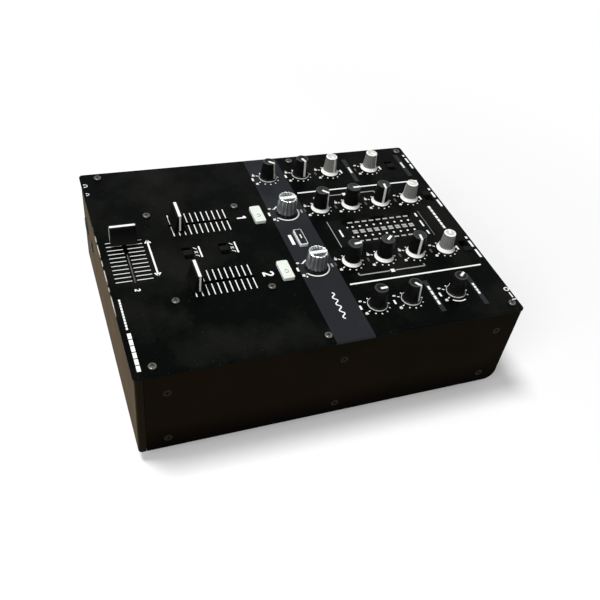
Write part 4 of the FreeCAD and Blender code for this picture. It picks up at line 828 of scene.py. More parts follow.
# Zinc on rolled steel: cool grey with cloudy patches.
ZINC = Finish("zinc_plated_steel", "#a9abac", "#bfc0bf", (0.3, 0.48), patch_mm=6.0, grain_mm=1.2,
              grain_height_mm=0.01, metallic=1.0)
# Aluminium off the lathe: pale metal with rings round it.
TURNED = Finish("turned_aluminium", "#b6b7b9", "#c6c7c9", (0.25, 0.38), patch_mm=4.0, grain_mm=0.4,
                grain_height_mm=0.01, grain_stretch=(1, 1, 8), metallic=1.0)
# Moulded rubber: black with no shine.
RUBBER = Finish("moulded_rubber", "#121212", "#1c1c1b", (0.7, 0.85), patch_mm=6.0, grain_mm=0.6,
                grain_height_mm=0.03, specular=0.3)
# Extruded vinyl over 1.27 mm wires: grey with ridges along the cable.
RIBBON = Finish("extruded_ribbon_vinyl", "#8d8f92", "#a5a7a9", Gloss.DULL.value, patch_mm=4.0,
                grain_mm=1.27, grain_height_mm=0.2, grain_stretch=(1.0, 0.02, 0.02))
# Lacquered board: dark green with paler tracks.
BOARD = BoardLacquer("lacquered_circuit_board", "#0c3a22", "#1d5a37", Gloss.SATIN.value)
# Glass-filled moulding: black, duller than the knobs.
SOCKET_ABS = Finish("moulded_socket_abs", "#0f0f10", "#171718", Gloss.DULL.value, patch_mm=8.0,
                    grain_mm=0.35, specular=0.2)
# Moulded inserts: red below and ivory above.
INSERTS = RowPlastic("moulded_insert_abs", "#9c1a17", "#8a1512", Gloss.SATIN.value, patch_mm=6.0,
                     split_m=float(middle_mm("rca_inserts")[2]) * MM)


class CadDress:
    """Finishes of the nodes that keep their own solids."""

    NODES: ClassVar[dict[str, Finish]] = {
        "top_panel": PANEL_COAT, "side_panel_left": CASE_COAT, "side_panel_right": CASE_COAT,
        "front_panel": FRONT_COAT, "rear_panel": CASE_COAT, "bottom_tray": TRAY_COAT,
        "rubber_feet": RUBBER, "pan_head_screws": DARK_NICKEL, "countersunk_screws": BLACK_OXIDE,
        "control_board": BOARD, "jack_board": BOARD, "power_supply": BOARD, "standoffs": TURNED,
        "pots": ZINC, "fader_plate": ZINC, "fader_frames": ZINC, "slide_switch_bodies": SOCKET_ABS,
        "meter_window": SMOKED, "meter_light_guides": MILKY, "rca_jacks": NICKEL, "rca_inserts": INSERTS,
        "xlr_sockets": SOCKET_ABS, "jack_sockets": SOCKET_ABS, "mains_inlet": SOCKET_ABS,
        "power_switch_housing": SOCKET_ABS, "power_rocker": SOCKET_ABS, "usb_port": ZINC,
        "ground_terminal": NICKEL, "ribbon_cable": RIBBON,
        "channel_fader_1_carriage": SOCKET_ABS, "channel_fader_2_carriage": SOCKET_ABS,
        "crossfader_carriage": SOCKET_ABS,
        "input_switch_1": SWITCH_ABS, "input_switch_2": SWITCH_ABS, "aux_switch": SWITCH_ABS,
        "channel_curve_switch": SWITCH_ABS, "cross_curve_switch": SWITCH_ABS,
    }

    def dress(self) -> None:
        """Give each of these nodes its finish."""
        for node, finish in self.NODES.items():
            piece = frame["nodes"][node]
            if not piece.material_slots:
                piece.data.materials.append(None)
            for place in piece.material_slots:
                place.material = finish.material()
        LOG.info("finishes on %d nodes", len(self.NODES))


# Knobs

GRIP_SEGMENTS = 208            # points round a ribbed grip
FLUTE_SEGMENTS = 160           # points round a fluted grip


class KnobKind(Enum):
    """Kinds of knob: grey level knobs, white-skirted tone knobs, plain black ones and fluted silver ones."""

    GREY = "grey"
    EQ = "eq"
    BLACK = "black"
    COLOUR = "colour"


@dataclass
class Knob:
    """A knob with grip, top, skirt and pointer, in millimetres from the plate's top."""

    node: str
    kind: KnobKind
    top_r: float
    base_r: float
    lift: float = 0.6            # skirt's foot
    rim_h: float = 0.8           # skirt's upright rim
    rim_soft: float = 0.25       # rounding of that rim
    rim_nick: float = 0.07       # how far the rounding's middle lies inside the corner
    collar: float = 2.5          # top of the skirt's slope
    bury: float = 0.2            # how far the grip's foot lies below the collar
    flare: float = 0.0           # spread of the grip's foot
    edge_r: float = 0.7          # rounding at the top of the grip
    rim_w: float = 1.0           # flat rim round the dished disc
    rim_proud: float = 0.04      # rim above the grip, which it lies on
    dish: float = 0.35           # depth of the disc
    disc_fit: float = 0.97       # the disc's radius against the dish's
    disc_curve: float = 0.12     # rise of the disc towards its edge
    pointer_w: float = 1.9
    pointer_proud: float = 0.06
    pointer_depth: float = 0.3
    ribs: int = 26               # fine ribs round a plain grip
    rib_depth: float = 0.2
    rib_fade: float = 1.2        # height over which the ribs die out below the edge
    flutes: int = 16
    flute_depth: float = 0.75
    crown_h: float = 0.5         # rounded top of a fluted knob
    hollow: float = 1.3          # depth of the finger hollows in it
    ridge_half: float = 1.7      # half the width that the hollows leave between them

    def __post_init__(self) -> None:
        """Read the knob's place, height, skirt and pointer angle from the frame."""
        low, high = box_mm(self.node)
        joint = joint_of(self.node)
        self.x, self.y = (float(v) for v in (np.array(joint["pos_m"]) / MM)[:2])
        self.height = float(high[2]) - PANEL_TOP
        self.skirt_r = float(high[0] - low[0]) / 2
        self.angle = sum(joint["range_deg"]) / 2

    def add(self, part: str, shells: Sequence[Shell], finish: Finish, replaces: Sequence[str] = ()) -> None:
        """Make one piece of the knob, turned to the pointer's angle.

        Args:
            part: End of the piece's name.
            shells: Surfaces round the knob's own axis, from the plate's top up.
            finish: What the piece is made of.
            replaces: Nodes that it stands for.
        """
        placed = [shell.at(self.x, self.y, PANEL_TOP, self.angle) for shell in shells]
        make_piece(f"{self.node}_{part}", placed, finish, self.node, replaces)

    def side(self) -> list[tuple[float, float]]:
        """Profile of the grip's side from its foot to its rim: a cone whose foot flares out.

        Returns:
            Radius and height of each point.
        """
        rise = np.linspace(0.0, 1.0, 12)
        foot, top = self.collar - self.bury, self.height - self.edge_r
        radius = self.base_r + (self.top_r - self.base_r) * rise + self.flare * (1 - rise) ** 6
        return list(zip(radius, foot + (top - foot) * rise))

    def edge(self) -> list[tuple[float, float]]:
        """Profile of the rounded edge at the top of the grip: a quarter circle.

        Returns:
            Radius and height of each point, from the side to the top.
        """
        angle = np.linspace(0.0, np.pi / 2, 7)[1:]
        radius = self.top_r - self.edge_r + self.edge_r * np.cos(angle)
        return list(zip(radius, self.height - self.edge_r + self.edge_r * np.sin(angle)))

    def disc_r(self) -> float:
        """Radius of the dish in the top."""
        return self.top_r - self.edge_r - self.rim_w * 0.4

    def build(self) -> None:
        """Make the knob's pieces."""
        if self.kind is KnobKind.COLOUR:
            self.build_fluted()
        else:
            self.build_plain()
        self.build_skirt()

    def build_plain(self) -> None:
        """Ribbed grip with a dished disc, a rim round it and a white pointer over its top and side."""
        grey = self.kind is KnobKind.GREY
        # a dark knob's rim is paler than its grip: a painted highlight
        body, disc, rim = (GREY_ABS, PALE_DISC, WHITE_ABS) if grey else (BLACK_ABS, GREY_DISC, RIM_PAINTED_HIGHLIGHT)
        if self.kind is KnobKind.BLACK:
            disc = BLACK_ABS
        inner = self.disc_r()
        floor = self.height - self.dish
        bed = floor - 0.1
        grip = [(0.0, self.collar - self.bury)] + self.side() + self.edge()
        grip += [(inner, self.height), (inner - 0.2, bed), (0.0, bed)]
        self.add("grip", [lathe(grip, GRIP_SEGMENTS, self.ribbed)], body, [self.node])
        edge = self.edge() if grey else self.edge()[3:]    # a grey knob's rim goes further down the edge
        bore, proud = inner - 0.1, self.rim_proud
        ring = [(bore, self.height - 0.2)] + [(r + proud, z + proud) for r, z in edge]
        self.add("rim", [lathe(ring + [(bore, self.height + proud)], ring=True)], rim)
        outer, under = inner * self.disc_fit, floor - 0.08
        top = [(outer * r, floor + self.disc_curve * r ** 2) for r in np.linspace(1.0, 0.0, 9)]
        self.add("disc", [lathe([(0.0, under), (outer, under)] + top)], disc)
        self.add("pointer", [self.pointer(floor, inner)], WHITE_ABS)

    def ribbed(self, angle: np.ndarray, height: np.ndarray) -> np.ndarray:
        """Factor on the radius that makes fine ribs: a cosine wave that fades out below the top edge."""
        fade = np.clip((self.height - self.edge_r - height) / self.rib_fade, 0.0, 1.0)
        return 1.0 - self.rib_depth / self.base_r * fade * (0.5 - 0.5 * np.cos(self.ribs * angle))

    def pointer(self, floor: float, inner: float) -> Shell:
        """White line from just behind the middle, over the edge and down to the skirt.

        Args:
            floor: Height of the disc's middle.
            inner: Radius of the dish.

        Returns:
            The closed surface.
        """
        proud = self.pointer_proud
        line = [(-0.5, floor + 0.1), (inner - 0.35, floor + 0.2), (inner, self.height + proud)]
        line += [(r + proud, z + proud) for r, z in reversed(self.edge()[:5])]
        line += [(r + proud, z) for r, z in reversed(self.side())]
        path = np.array([(0.0, r, z) for r, z in line])
        return upright_ribbon(path, self.pointer_w, self.pointer_depth)

    def build_skirt(self) -> None:
        """Skirt under the grip: an upright rim with soft corners, then a slope up to the grip.

        The slope rises as the power 1.3 of the way in.
        """
        low, rim, r = self.lift, self.lift + self.rim_h, self.skirt_r
        soft, nick = self.rim_soft, self.rim_nick
        hub = self.base_r - 1.2
        profile = [(hub, low), (r - soft, low), (r - nick, low + nick), (r, low + soft), (r, rim - soft),
                   (r - nick, rim - nick), (r - soft, rim)]
        slope = np.linspace(0.0, 1.0, 6)[1:]
        inner = self.base_r + self.flare - 0.05
        profile += [(r - soft + (inner - r + soft) * s, rim + (self.collar - rim) * s ** 1.3) for s in slope]
        profile += [(hub, self.collar)]
        black = self.kind in (KnobKind.BLACK, KnobKind.COLOUR)
        self.add("skirt", [lathe(profile, ring=True)], BLACK_ABS if black else WHITE_ABS)
        # a black knob's skirt gets an off-white line round its rim: a painted highlight
        if self.kind is KnobKind.BLACK:
            bore, outer, foot = r - 0.5, r + self.rim_proud, low + 0.1
            line = [(bore, foot), (outer, foot), (outer, rim), (bore, rim + 0.06)]
            self.add("rim_highlight_line", [lathe(line, ring=True)], SKIRT_RIM_HIGHLIGHT)

    def scallop(self, angle: np.ndarray, _height: np.ndarray) -> np.ndarray:
        """Factor on the radius that makes the flutes: a rounded cosine wave, once for each flute."""
        wave = 0.5 - 0.5 * np.cos(self.flutes * (angle - np.pi / 2))
        return 1.0 - self.flute_depth / self.base_r * wave ** 0.7

    def build_fluted(self) -> None:
        """Fluted grip whose top is hollowed on both sides of a ridge, which carries the pointer; ridge and lip are
        pale as a painted highlight, the hollows dark as painted shade.
        """
        rim = self.height - self.crown_h
        side = [(r, min(z, rim)) for r, z in self.side()]
        grip = [(0.0, self.collar)] + side + [(self.top_r, rim), (0.0, rim - self.hollow - 0.9)]
        self.add("grip", [lathe(grip, FLUTE_SEGMENTS, self.scallop)], SILVER_PLATE, [self.node])
        share = np.linspace(1.0, 0.0, 25)
        bevel = np.minimum(1.0, (1.0 - share) * 9.0)       # the outer ninth rounds up to the top
        rise = self.crown_h * np.sin(bevel * np.pi / 2)
        foot = rim - self.hollow - 0.6
        crown = [(0.0, foot), (self.top_r, foot)] + list(zip(self.top_r * share, rim + rise))
        top = lathe(crown, FLUTE_SEGMENTS, self.scallop)
        # dark hollows: painted shade
        self.add("crown", [top.mapped(self.hollowed)], PLATE_PAINTED_SHADE)
        # pale lip and ridge: painted highlight
        lip = [(self.top_r - 0.9, self.height - 0.3), (self.top_r - 0.05, self.height - 0.55),
               (self.top_r - 0.2, self.height - 0.12), (self.top_r - 0.55, self.height + 0.05)]
        self.add("lip", [lathe(lip, FLUTE_SEGMENTS, self.scallop, ring=True)], PLATE_PAINTED_HIGHLIGHT)
        reach = self.top_r - 0.35
        # width, half length, and height from the knob's top, of each level of the ridge
        levels = [(3.6, reach, -self.hollow - 0.3), (3.2, reach, -0.35), (2.7, reach - 0.15, -0.08),
                  (2.0, reach - 0.4, 0.04)]
        outlines = [round_box(w, 2 * r, w * 0.45) for w, r, _ in levels]
        self.add("ridge", [stack(outlines, [self.height + z for *_, z in levels])], PLATE_PAINTED_HIGHLIGHT)
        path = np.array([(0.0, y, self.height + 0.07) for y in np.linspace(0.3, self.top_r - 0.6, 6)])
        self.add("pointer", [upright_ribbon(path, self.pointer_w, 0.2)], WHITE_ABS)

    def hollowed(self, points: np.ndarray) -> np.ndarray:
        """Lower the top beside the ridge: deepest midway out, nothing at the rim.

        The dip is the hollow's depth, times what a steep bell along X leaves, times one less the fifth power
        of the way out.

        Args:
            points: Points of the crown.

        Returns:
            The lowered points.
        """
        out = np.hypot(points[:, 0], points[:, 1]) / self.top_r
        ridge = np.exp(-(points[:, 0] / self.ridge_half) ** 4)
        dip = self.hollow * (1.0 - ridge) * np.clip(1.0 - out ** 5, 0.0, 1.0)
        lowered = points.copy()
        on_top = points[:, 2] > self.height - self.crown_h - 0.2
        lowered[:, 2] -= np.where(on_top, dip, 0.0)
        return lowered


class KnobSet:
    """All the knobs."""

    SIZES: ClassVar[dict[KnobKind, dict[str, float]]] = {
        KnobKind.GREY: {"top_r": 4.9, "base_r": 6.0, "flare": 0.2, "collar": 3.3, "rib_depth": 0.55,
                        "ribs": 20},
        KnobKind.EQ: {"top_r": 5.8, "base_r": 6.5, "collar": 3.4},
        KnobKind.BLACK: {"top_r": 5.2, "base_r": 6.5},
        KnobKind.COLOUR: {"top_r": 7.6, "base_r": 8.6},
    }
    KINDS: ClassVar[dict[str, KnobKind]] = {
        "trim": KnobKind.GREY, "aux_level": KnobKind.GREY, "mic_level": KnobKind.GREY, "high": KnobKind.EQ,
        "mid": KnobKind.EQ, "low": KnobKind.EQ, "colour": KnobKind.COLOUR,
    }

    def build(self) -> list[Knob]:
        """Make every knob.

        Returns:
            The knobs, whose places the print goes round.
        """
        knobs = []
        for node in sorted(n for n in frame["nodes"] if n.startswith("knob_")):
            word = node.removeprefix("knob_").removesuffix("_1").removesuffix("_2")
            kind = self.KINDS.get(word, KnobKind.BLACK)
            knob = Knob(node, kind, **self.SIZES[kind])
            knob.build()
            knobs.append(knob)
        return knobs


# Faders

@dataclass
class Fader:
    """A fader's cap: a waisted wedge with a white line over its top and down its ends."""

    body: str
    line_w: float = 2.1
    line_depth: float = 0.3
    line_proud: float = 0.05
    end_line_w: float = 1.3
    base_half: float = 5.5
    tip_half: float = 2.3
    end_bevel: float = 0.8
    crease: float = 30.0         # edges of the cap sharper than this many degrees stay sharp

    def __post_init__(self) -> None:
        """Read the cap's box and the fader's travel from the frame."""
        self.node = self.body + "_cap"
        self.low, self.high = box_mm(self.node)
        joint = joint_of(self.body)
        along = np.array(joint["axis"][:2], float)
        self.travel = np.array(joint["range_m"]) / MM
        self.middle = (self.low + self.high)[:2] / 2
        self.slot_middle = self.middle + along * self.travel.sum() / 2
        across = 1 - int(np.argmax(np.abs(along)))
        self.half_length = float(self.high[across] - self.low[across]) / 2
        self.turn = 0.0 if abs(along[0]) > 0.5 else -90.0

    def half_width(self, z: np.ndarray) -> np.ndarray:
        """Half the cap's width at a height: it widens as the square of the way down from the top."""
        down = (self.high[2] - z) / (self.high[2] - self.low[2])
        return self.tip_half + (self.base_half - self.tip_half) * down ** 2

    def build(self) -> None:
        """Make the cap, whose last two levels draw in to a soft top edge, and its line."""
        z_low, z_high = float(self.low[2]), float(self.high[2])
        rise = np.linspace(z_low, z_high - 0.4, 14)
        draw_in = np.array([0.12, 0.4])
        z = np.concatenate([rise, [z_high - draw_in[0], z_high]])
        half = np.concatenate([self.half_width(rise), self.tip_half - draw_in])
        shorter = np.concatenate([np.zeros(len(rise)), draw_in])
        outlines = [round_box(2 * h, 2 * (self.half_length - s), self.end_bevel, 5)
                    for h, s in zip(half, shorter)]
        cap = stack(outlines, z).at(*self.middle, 0.0, self.turn)
        make_piece(self.node, [cap], CAP_ABS, self.body, [self.node], self.crease)
        make_piece(self.node + "_line", self.line(z_low, z_high), WHITE_ABS, self.body)

    def line(self, z_low: float, z_high: float) -> list[Shell]:
        """White line along the top, and a narrower one down each end face.

        Args:
            z_low: Height of the cap's foot.
            z_high: Height of its top.

        Returns:
            The three lines.
        """
        reach = self.half_length - 0.4
        top = np.array([(0.0, y, z_high + self.line_proud) for y in (-reach, 0.0, reach)])
        shells = [upright_ribbon(top, self.line_w, self.line_depth)]
        for sign in (-1.0, 1.0):
            y = sign * (self.half_length + self.line_proud)
            face = np.array([(0.0, y, z) for z in np.linspace(z_high - 0.3, z_low + 0.4, 3)])
            shells.append(upright_ribbon(face, self.end_line_w, self.line_depth, -sign))
        return [shell.at(*self.middle, 0.0, self.turn) for shell in shells]


# Buttons and switch levers

@dataclass
class Button:
    """A push button's cap above the plate, with rounded corners and a soft top edge."""

    node: str
    corner_r: float = 1.4
    edge: float = 0.6
    lip_w: float = 1.5           # lip under the plate, beyond the cap
    skirt_h: float = 3.0         # cap's wall below the plate's top
    sunk: float = 0.12           # hollow in a cue button's top
    rim_drop: float = 0.25       # filter button's rim below its face
    rim_w: float = 0.7

    def __post_init__(self) -> None:
        """Read the button's place and size from the frame."""
        low, high = box_mm(self.node)
        self.x, self.y = (float(v) for v in ((low + high) / 2)[:2])
        self.width, self.depth = (float(v) - 2 * self.lip_w for v in (high - low)[:2])
        self.top = float(high[2])

    def cap(self, inset: float, low: float, high: float, sink: float = 0.0) -> Shell:
        """Rounded cap whose top edge is a quarter circle.

        Args:
            inset: How far its sides lie inside the button's.
            low: Height of its foot.
            high: Height of its edge.
            sink: How far its middle lies below the edge.

        Returns:
            The closed surface.
        """
        angle = np.linspace(0.0, np.pi / 2, 6)[1:]
        inward = np.concatenate([[0.0, 0.0], self.edge * (1 - np.cos(angle)), [self.edge + 1.2]]) + inset
        z = np.concatenate([[low, high - self.edge], high - self.edge + self.edge * np.sin(angle),
                            [high - sink]])
        outlines = [round_box(self.width - 2 * i, self.depth - 2 * i, max(self.corner_r - i * 0.5, 0.3))
                    for i in inward]
        return stack(outlines, z).at(self.x, self.y)

    def build(self) -> None:
        """Make the button."""
        low = PANEL_TOP - self.skirt_h
        if self.node.startswith("cue"):
            make_piece(self.node + "_top", [self.cap(0.0, low, self.top, self.sunk)], BUTTON_WHITE,
                       self.node, [self.node])
            mark = [shell.at(self.x + 2.5, self.y, self.top - self.sunk - 0.02)
                    for shell in headphone_mark(1.5, 0.45)]
            make_piece(self.node + "_mark", mark, BUTTON_INK, self.node)
            return
        make_piece(self.node + "_rim", [self.cap(0.0, low, self.top - self.rim_drop)], BUTTON_FROST,
                   self.node, [self.node])
        make_piece(self.node + "_face", [self.cap(self.rim_w, self.top - 0.8, self.top)], BLACK_ABS,
                   self.node)
        mark = dash(-2.4, 2.4, 0.9).at(self.x, self.y, self.top)
        make_piece(self.node + "_mark", [mark], WHITE_INK, self.node)


def headphone_mark(size: float, width: float) -> list[Shell]:
    """Headphones: a half circle over two pads."""
    pads = [stroke([(s * size, 0.1 * size), (s * size, -0.75 * size)], width * 2.0) for s in (-1, 1)]
    return [stroke(arc(size, -90, 90, count=17), width)] + pads


@dataclass
class SwitchLever:
    """Grip ribs on a slide switch's lever."""

    node: str
    ribs: int = 4
    rib_w: float = 0.55
    rib_h: float = 0.4
    length: float = 5.0
    width: float = 6.4

    def build(self) -> None:
        """Make ribs across the lever's top, which narrow towards their own tops."""
        middle = middle_mm(self.node)
        top = float(box_mm(self.node)[1][2])
        places = (np.arange(self.ribs) - (self.ribs - 1) / 2) * self.length / (self.ribs + 0.4)
        foot = round_box(self.rib_w, self.width - 0.3, 0.2, 4)
        crest = round_box(self.rib_w * 0.55, self.width - 0.8, 0.12, 4)
        rib = stack([foot, foot, crest], [-0.2, self.rib_h * 0.6, self.rib_h])
        shells = [rib.at(middle[0] + x, middle[1], top) for x in places]
        make_piece(self.node + "_ribs", shells, SWITCH_ABS, self.node)


# Print on the panel

@dataclass
class PanelPrint:
    """Ink on the top plate: dial dots, scales, frames, rules, and plain numbers and signs.

    Places on the plate are in millimetres from its middle.
    """

    knobs: list[Knob]
    faders: list[Fader]
    dot_r: float = 0.62
    dial_gap: float = 1.7            # dots beyond the skirt
    dial_sweep: float = 150.0        # degrees from a dial's top to each of its ends
    ring_gap: float = 1.5            # ring beyond a silver knob's skirt
    ring_sweep: float = 146.0
    name_w: float = 1.6              # dashes in the places of names
    name_gap: float = 4.0            # a knob's name beyond its dial
    tick_w: float = 0.58
    channel_tick_w: float = 0.75
    tick_span: tuple[float, float] = (1.7, 13.4)    # start and end of a tick, from its slot
    rule_w: float = 1.5
    rule_x: float = 59.8
    rule_span: tuple[float, float] = (24.5, 140.0)
    bracket_w: float = 1.0
    bracket_x: float = 51.5
    bracket_span: tuple[float, float] = (36.0, 93.0)
    bracket_gap: tuple[float, float] = (62.0, 67.0)
    light_half: float = 2.1          # half a meter light along the meter
    meter_dot_x: float = 6.4
    selector_x: float = 35.3         # input selectors, left and right
    rear_y: float = 145.3            # row of signs along the rear edge
    front_y: float = -145.6          # row of signs along the front edge
    wedge_knob: str = "knob_master_level"    # its dial has an arc for the upper levels
    # middle of each dark bar, and half the length of its row of dashes
    bars_at: tuple[tuple[float, float, float], ...] = (
        (-85.5, 137.5, 4.5), (-85.5, 84.3, 4.5), (85.5, 121.5, 6.5), (85.5, 84.0, 11.0))
    bar_half: float = 17.5
    bar_w: float = 4.0
    white: list[Shell] = field(default_factory=list)
    soft: list[Shell] = field(default_factory=list)
    faint: list[Shell] = field(default_factory=list)
    bars: list[Shell] = field(default_factory=list)

    def ink(self, shells: Sequence[Shell], x: float, y: float, clockwise: float = 0.0,
            layer: list[Shell] | None = None) -> None:
        """Add ink at a place on the plate, white unless another layer is given."""
        placed = [shell.at(x, y + PANEL_Y, PANEL_TOP, clockwise) for shell in shells]
        (self.white if layer is None else layer).extend(placed)

    def digits(self, text: str, height: float, width: float) -> list[Shell]:
        """Plain numbers drawn with arcs and straight strokes, centred on the origin.

        Args:
            text: Made of the signs 0, 1, 2 and -.
            height: Height of the numbers.
            width: Width of the strokes.

        Returns:
            The strokes.
        """
        h = height / 2
        over = INK_MM * 1.3        # top of a stroke that crosses another
        shapes = {
            "0": [stroke(arc(1.0, 0, 360, count=25)[:-1] * np.array([h * 0.55, h]), width, True)],
            "1": [stroke([(0.1 * h, -h), (0.1 * h, h)], width),
                  stroke([(0.1 * h, 0.9 * h), (-0.45 * h, 0.5 * h)], width, height=over)],
            "2": [stroke(np.vstack([arc(0.52 * h, -80, 120, 0.0, 0.48 * h, 15),
                                    [(-0.5 * h, -0.9 * h)]]), width),
                  stroke([(-0.6 * h, -0.9 * h), (0.6 * h, -0.9 * h)], width, height=over)],
            "-": [dash(-0.35 * h, 0.45 * h, width)],
        }
        step = 1.3 * h
        start = -step * (len(text) - 1) / 2
        return [shell.at(start + k * step, 0.0) for k, sign in enumerate(text) for shell in shapes[sign]]

    def dials(self) -> None:
        """Ring or dots round each knob, its end numbers and the dash of its name."""
        for knob in self.knobs:
            if knob.kind is KnobKind.COLOUR:
                self.dial_ring(knob)
            else:
                self.dial_dots(knob)
            self.dial_names(knob)

    def dial_ring(self, knob: Knob) -> None:
        """Ring with hooked ends, a dot and a grey dash round a silver knob.

        Args:
            knob: The knob.
        """
        x, y = knob.x, knob.y - PANEL_Y
        ring, sweep = knob.skirt_r + self.ring_gap, self.ring_sweep
        self.ink([stroke(arc(ring, -sweep, sweep, count=65), 1.1)], x, y)
        self.ink([stroke(arc(ring, s * sweep, s * (sweep + 3), count=3) * 1.08, 1.0) for s in (-1, 1)], x, y)
        self.ink([dot(0.8, *arc_point(ring + 3.4, 138))], x, y)
        self.ink([dash(-1.5, 2.5, self.name_w)], x, y + ring + 2.8, layer=self.soft)

    def dial_dots(self, knob: Knob) -> None:
        """Dots between two end strokes round a knob.

        Args:
            knob: The knob.
        """
        x, y = knob.x, knob.y - PANEL_Y
        radius, sweep = knob.skirt_r + self.dial_gap, self.dial_sweep
        marks = arc(radius, -sweep, sweep, count=11)[1:-1]
        for s in (-1, 1):
            end = [arc_point(r, s * sweep) for r in (radius - 0.7, radius + 1.2)]
            self.ink([stroke(end, 0.8)], x, y)
        if knob.node == self.wedge_knob:
            self.ink([stroke(arc(radius + 0.6, 66, 130, count=13), 1.0)], x, y)
            marks = marks[:6]      # the arc stands for the last three dots
        self.ink([dot(self.dot_r, *mark) for mark in marks], x, y)

    def dial_names(self, knob: Knob) -> None:
        """Numbers at a dial's ends and the dashes of its name.

        Args:
            knob: The knob.
        """
        x, y = knob.x, knob.y - PANEL_Y
        radius = knob.skirt_r + self.dial_gap
        tone = knob.kind is KnobKind.EQ or knob.node.startswith("knob_mic_")
        for sign, text in ((-1, "-10" if tone else "0"), (1, "10")):
            end = arc_point(radius + 3.6, sign * self.dial_sweep)
            self.ink(self.digits(text, 2.0, 0.6), x + end[0], y + end[1])
        pale = knob.kind in (KnobKind.EQ, KnobKind.GREY)
        self.ink([dash(-2.1, 2.1, self.name_w)], x, y - radius - self.name_gap,
                 layer=self.faint if pale else None)
        if knob.kind is KnobKind.GREY:
            self.ink([dash(-2.2, 2.8, self.name_w)], x + 0.6, y + radius + 1.5)

    def fader_scales(self) -> None:
        """Ticks beside each slot, the channel numbers and the crossfader's arrow."""
        for fader in self.faders:
            x, y = fader.slot_middle[0], fader.slot_middle[1] - PANEL_Y
            half = (fader.travel[1] - fader.travel[0]) / 2
            width = self.channel_tick_w if fader.turn else self.tick_w
            for place in np.linspace(-half, half, 11):
                for sign in (-1, 1):
                    tick = stroke([(place, sign * reach) for reach in self.tick_span], width)
                    self.ink([tick], x, y, fader.turn)
            if fader.turn:
                number = "1" if x < 0 else "2"
                self.ink(self.digits(number, 7.6, 1.5), x, y + 35.0)
            else:
                self.ink(self.digits("1", 3.6, 0.8), x - half - 10.5, y)
                self.ink(self.digits("2", 3.6, 0.8), x + half + 10.5, y)
                self.arrow(x, y + 17.5, 20.5)

    def arrow(self, x: float, y: float, half: float) -> None:
        """Double arrow along X.

        Args:
            x: Its middle along X.
            y: Its place along Y.
            half: Half its length.
        """
        self.ink([dash(-half, half, 1.3)], x, y)
        for s in (-1, 1):
            self.ink([stroke([(s * half, 0.0), (s * (half - 3.0), t * 2.2)], 1.2) for t in (-1, 1)], x, y)

    def rules(self) -> None:
        """White rules beside the channel strips and grey brackets beside their tone knobs."""
        low, high = self.bracket_span
        below, above = self.bracket_gap
        middle = (below + above) / 2
        for s in (-1, 1):
            self.ink([stroke([(0.0, y) for y in self.rule_span], self.rule_w)], s * self.rule_x, 0.0)
            self.ink([stroke([(0.0, -1.6), (0.0, 1.6)], 3.4)], s * self.bracket_x, middle)
            lines = [stroke([(0.0, a), (0.0, b)], self.bracket_w) for a, b in ((low, below), (above, high))]
            lines += [stroke([(0.0, y), (-s * 2.6, y)], self.bracket_w) for y in (low, high)]
            self.ink(lines, s * self.bracket_x, 0.0, layer=self.soft)

    def label_bars(self) -> None:
        """Dark grey bars with a row of white dashes, where groups of controls are named."""
        for x, y, half in self.bars_at:
            bar = dash(-self.bar_half, self.bar_half, self.bar_w, INK_MM * 0.5)
            self.ink([bar], x, y, layer=self.bars)
            self.dashes(x - half, x + half, y, 1.9, 4)

    def dashes(self, start: float, end: float, y: float, width: float, count: int, fill: float = 0.8) -> None:
        """Row of equal dashes along X.

        Args:
            start: Where the first begins.
            end: Where the last one's step ends.
            y: Place along Y.
            width: Width of the dashes.
            count: How many there are.
            fill: Share of its step that a dash fills.
        """
        step = (end - start) / count
        for k in range(count):
            self.ink([dash(0.0, step * fill, width)], start + k * step, y)

    def meter(self) -> None:
        """Scale dots, level dashes and end lines of the meter."""
        low, high = box_mm("meter_light_guides")
        y0, y1 = float(low[1]) - PANEL_Y, float(high[1]) - PANEL_Y
        for y in np.linspace(y0 + self.light_half, y1 - self.light_half, 9):
            self.ink([dot(0.95, s * self.meter_dot_x, y) for s in (-1, 1)], 0.0, 0.0)
        self.ink([dot(0.75, s * self.meter_dot_x, y0 - 2.6) for s in (-1, 1)], 0.0, 0.0)
        self.ink([dash(x - 2.4, x + 2.4, 1.5) for x in (-12.0, 12.0)], 0.0, y1 + 8.0)
        self.ink([dash(-4.0, 4.0, 1.5)], 0.0, y1 + 8.0)
        self.ink([dash(-4.5, 4.5, 1.5)], 0.0, y0 - 10.5)
        for y, width in ((35.0, 0.6), (119.6, 0.25)):
            self.ink([dash(-16.8, 16.8, width)], 0.0, y, layer=self.soft)

    def switch_signs(self) -> None:
        """Signs at the slide switches: dashes by the selectors, curves by the fader switches."""
        for s in (-1, 1):
            spans = ((-11.2, -8.4), (-5.5, 2.4), (6.0, 16.0))
            self.ink([dash(*span, 2.0) for span in spans], s * self.selector_x, self.rear_y)
        spans = ((-101.5, -98.8), (-96.0, -88.5), (-86.0, -79.0))
        self.ink([dash(*span, 1.8) for span in spans], 0.0, self.rear_y + 0.1)
        h = 1.2                    # half the curves' height
        curves = [[(-5.6, -h), (-3.4, h)], [(-1.1, -h), (1.1, h)], [(-1.1, h), (1.1, -h)],
                  [(3.4, -h), (4.2, h)], [(4.2, h), (5.6, h)]]
        for node in ("channel_curve_switch", "cross_curve_switch"):
            y = float(middle_mm(node)[1]) - PANEL_Y
            self.ink([stroke(curve, 0.6) for curve in curves], 0.0, y + 6.6)
            self.ink([dash(-6.5, 6.5, 1.2)], 0.0, y + 9.8)

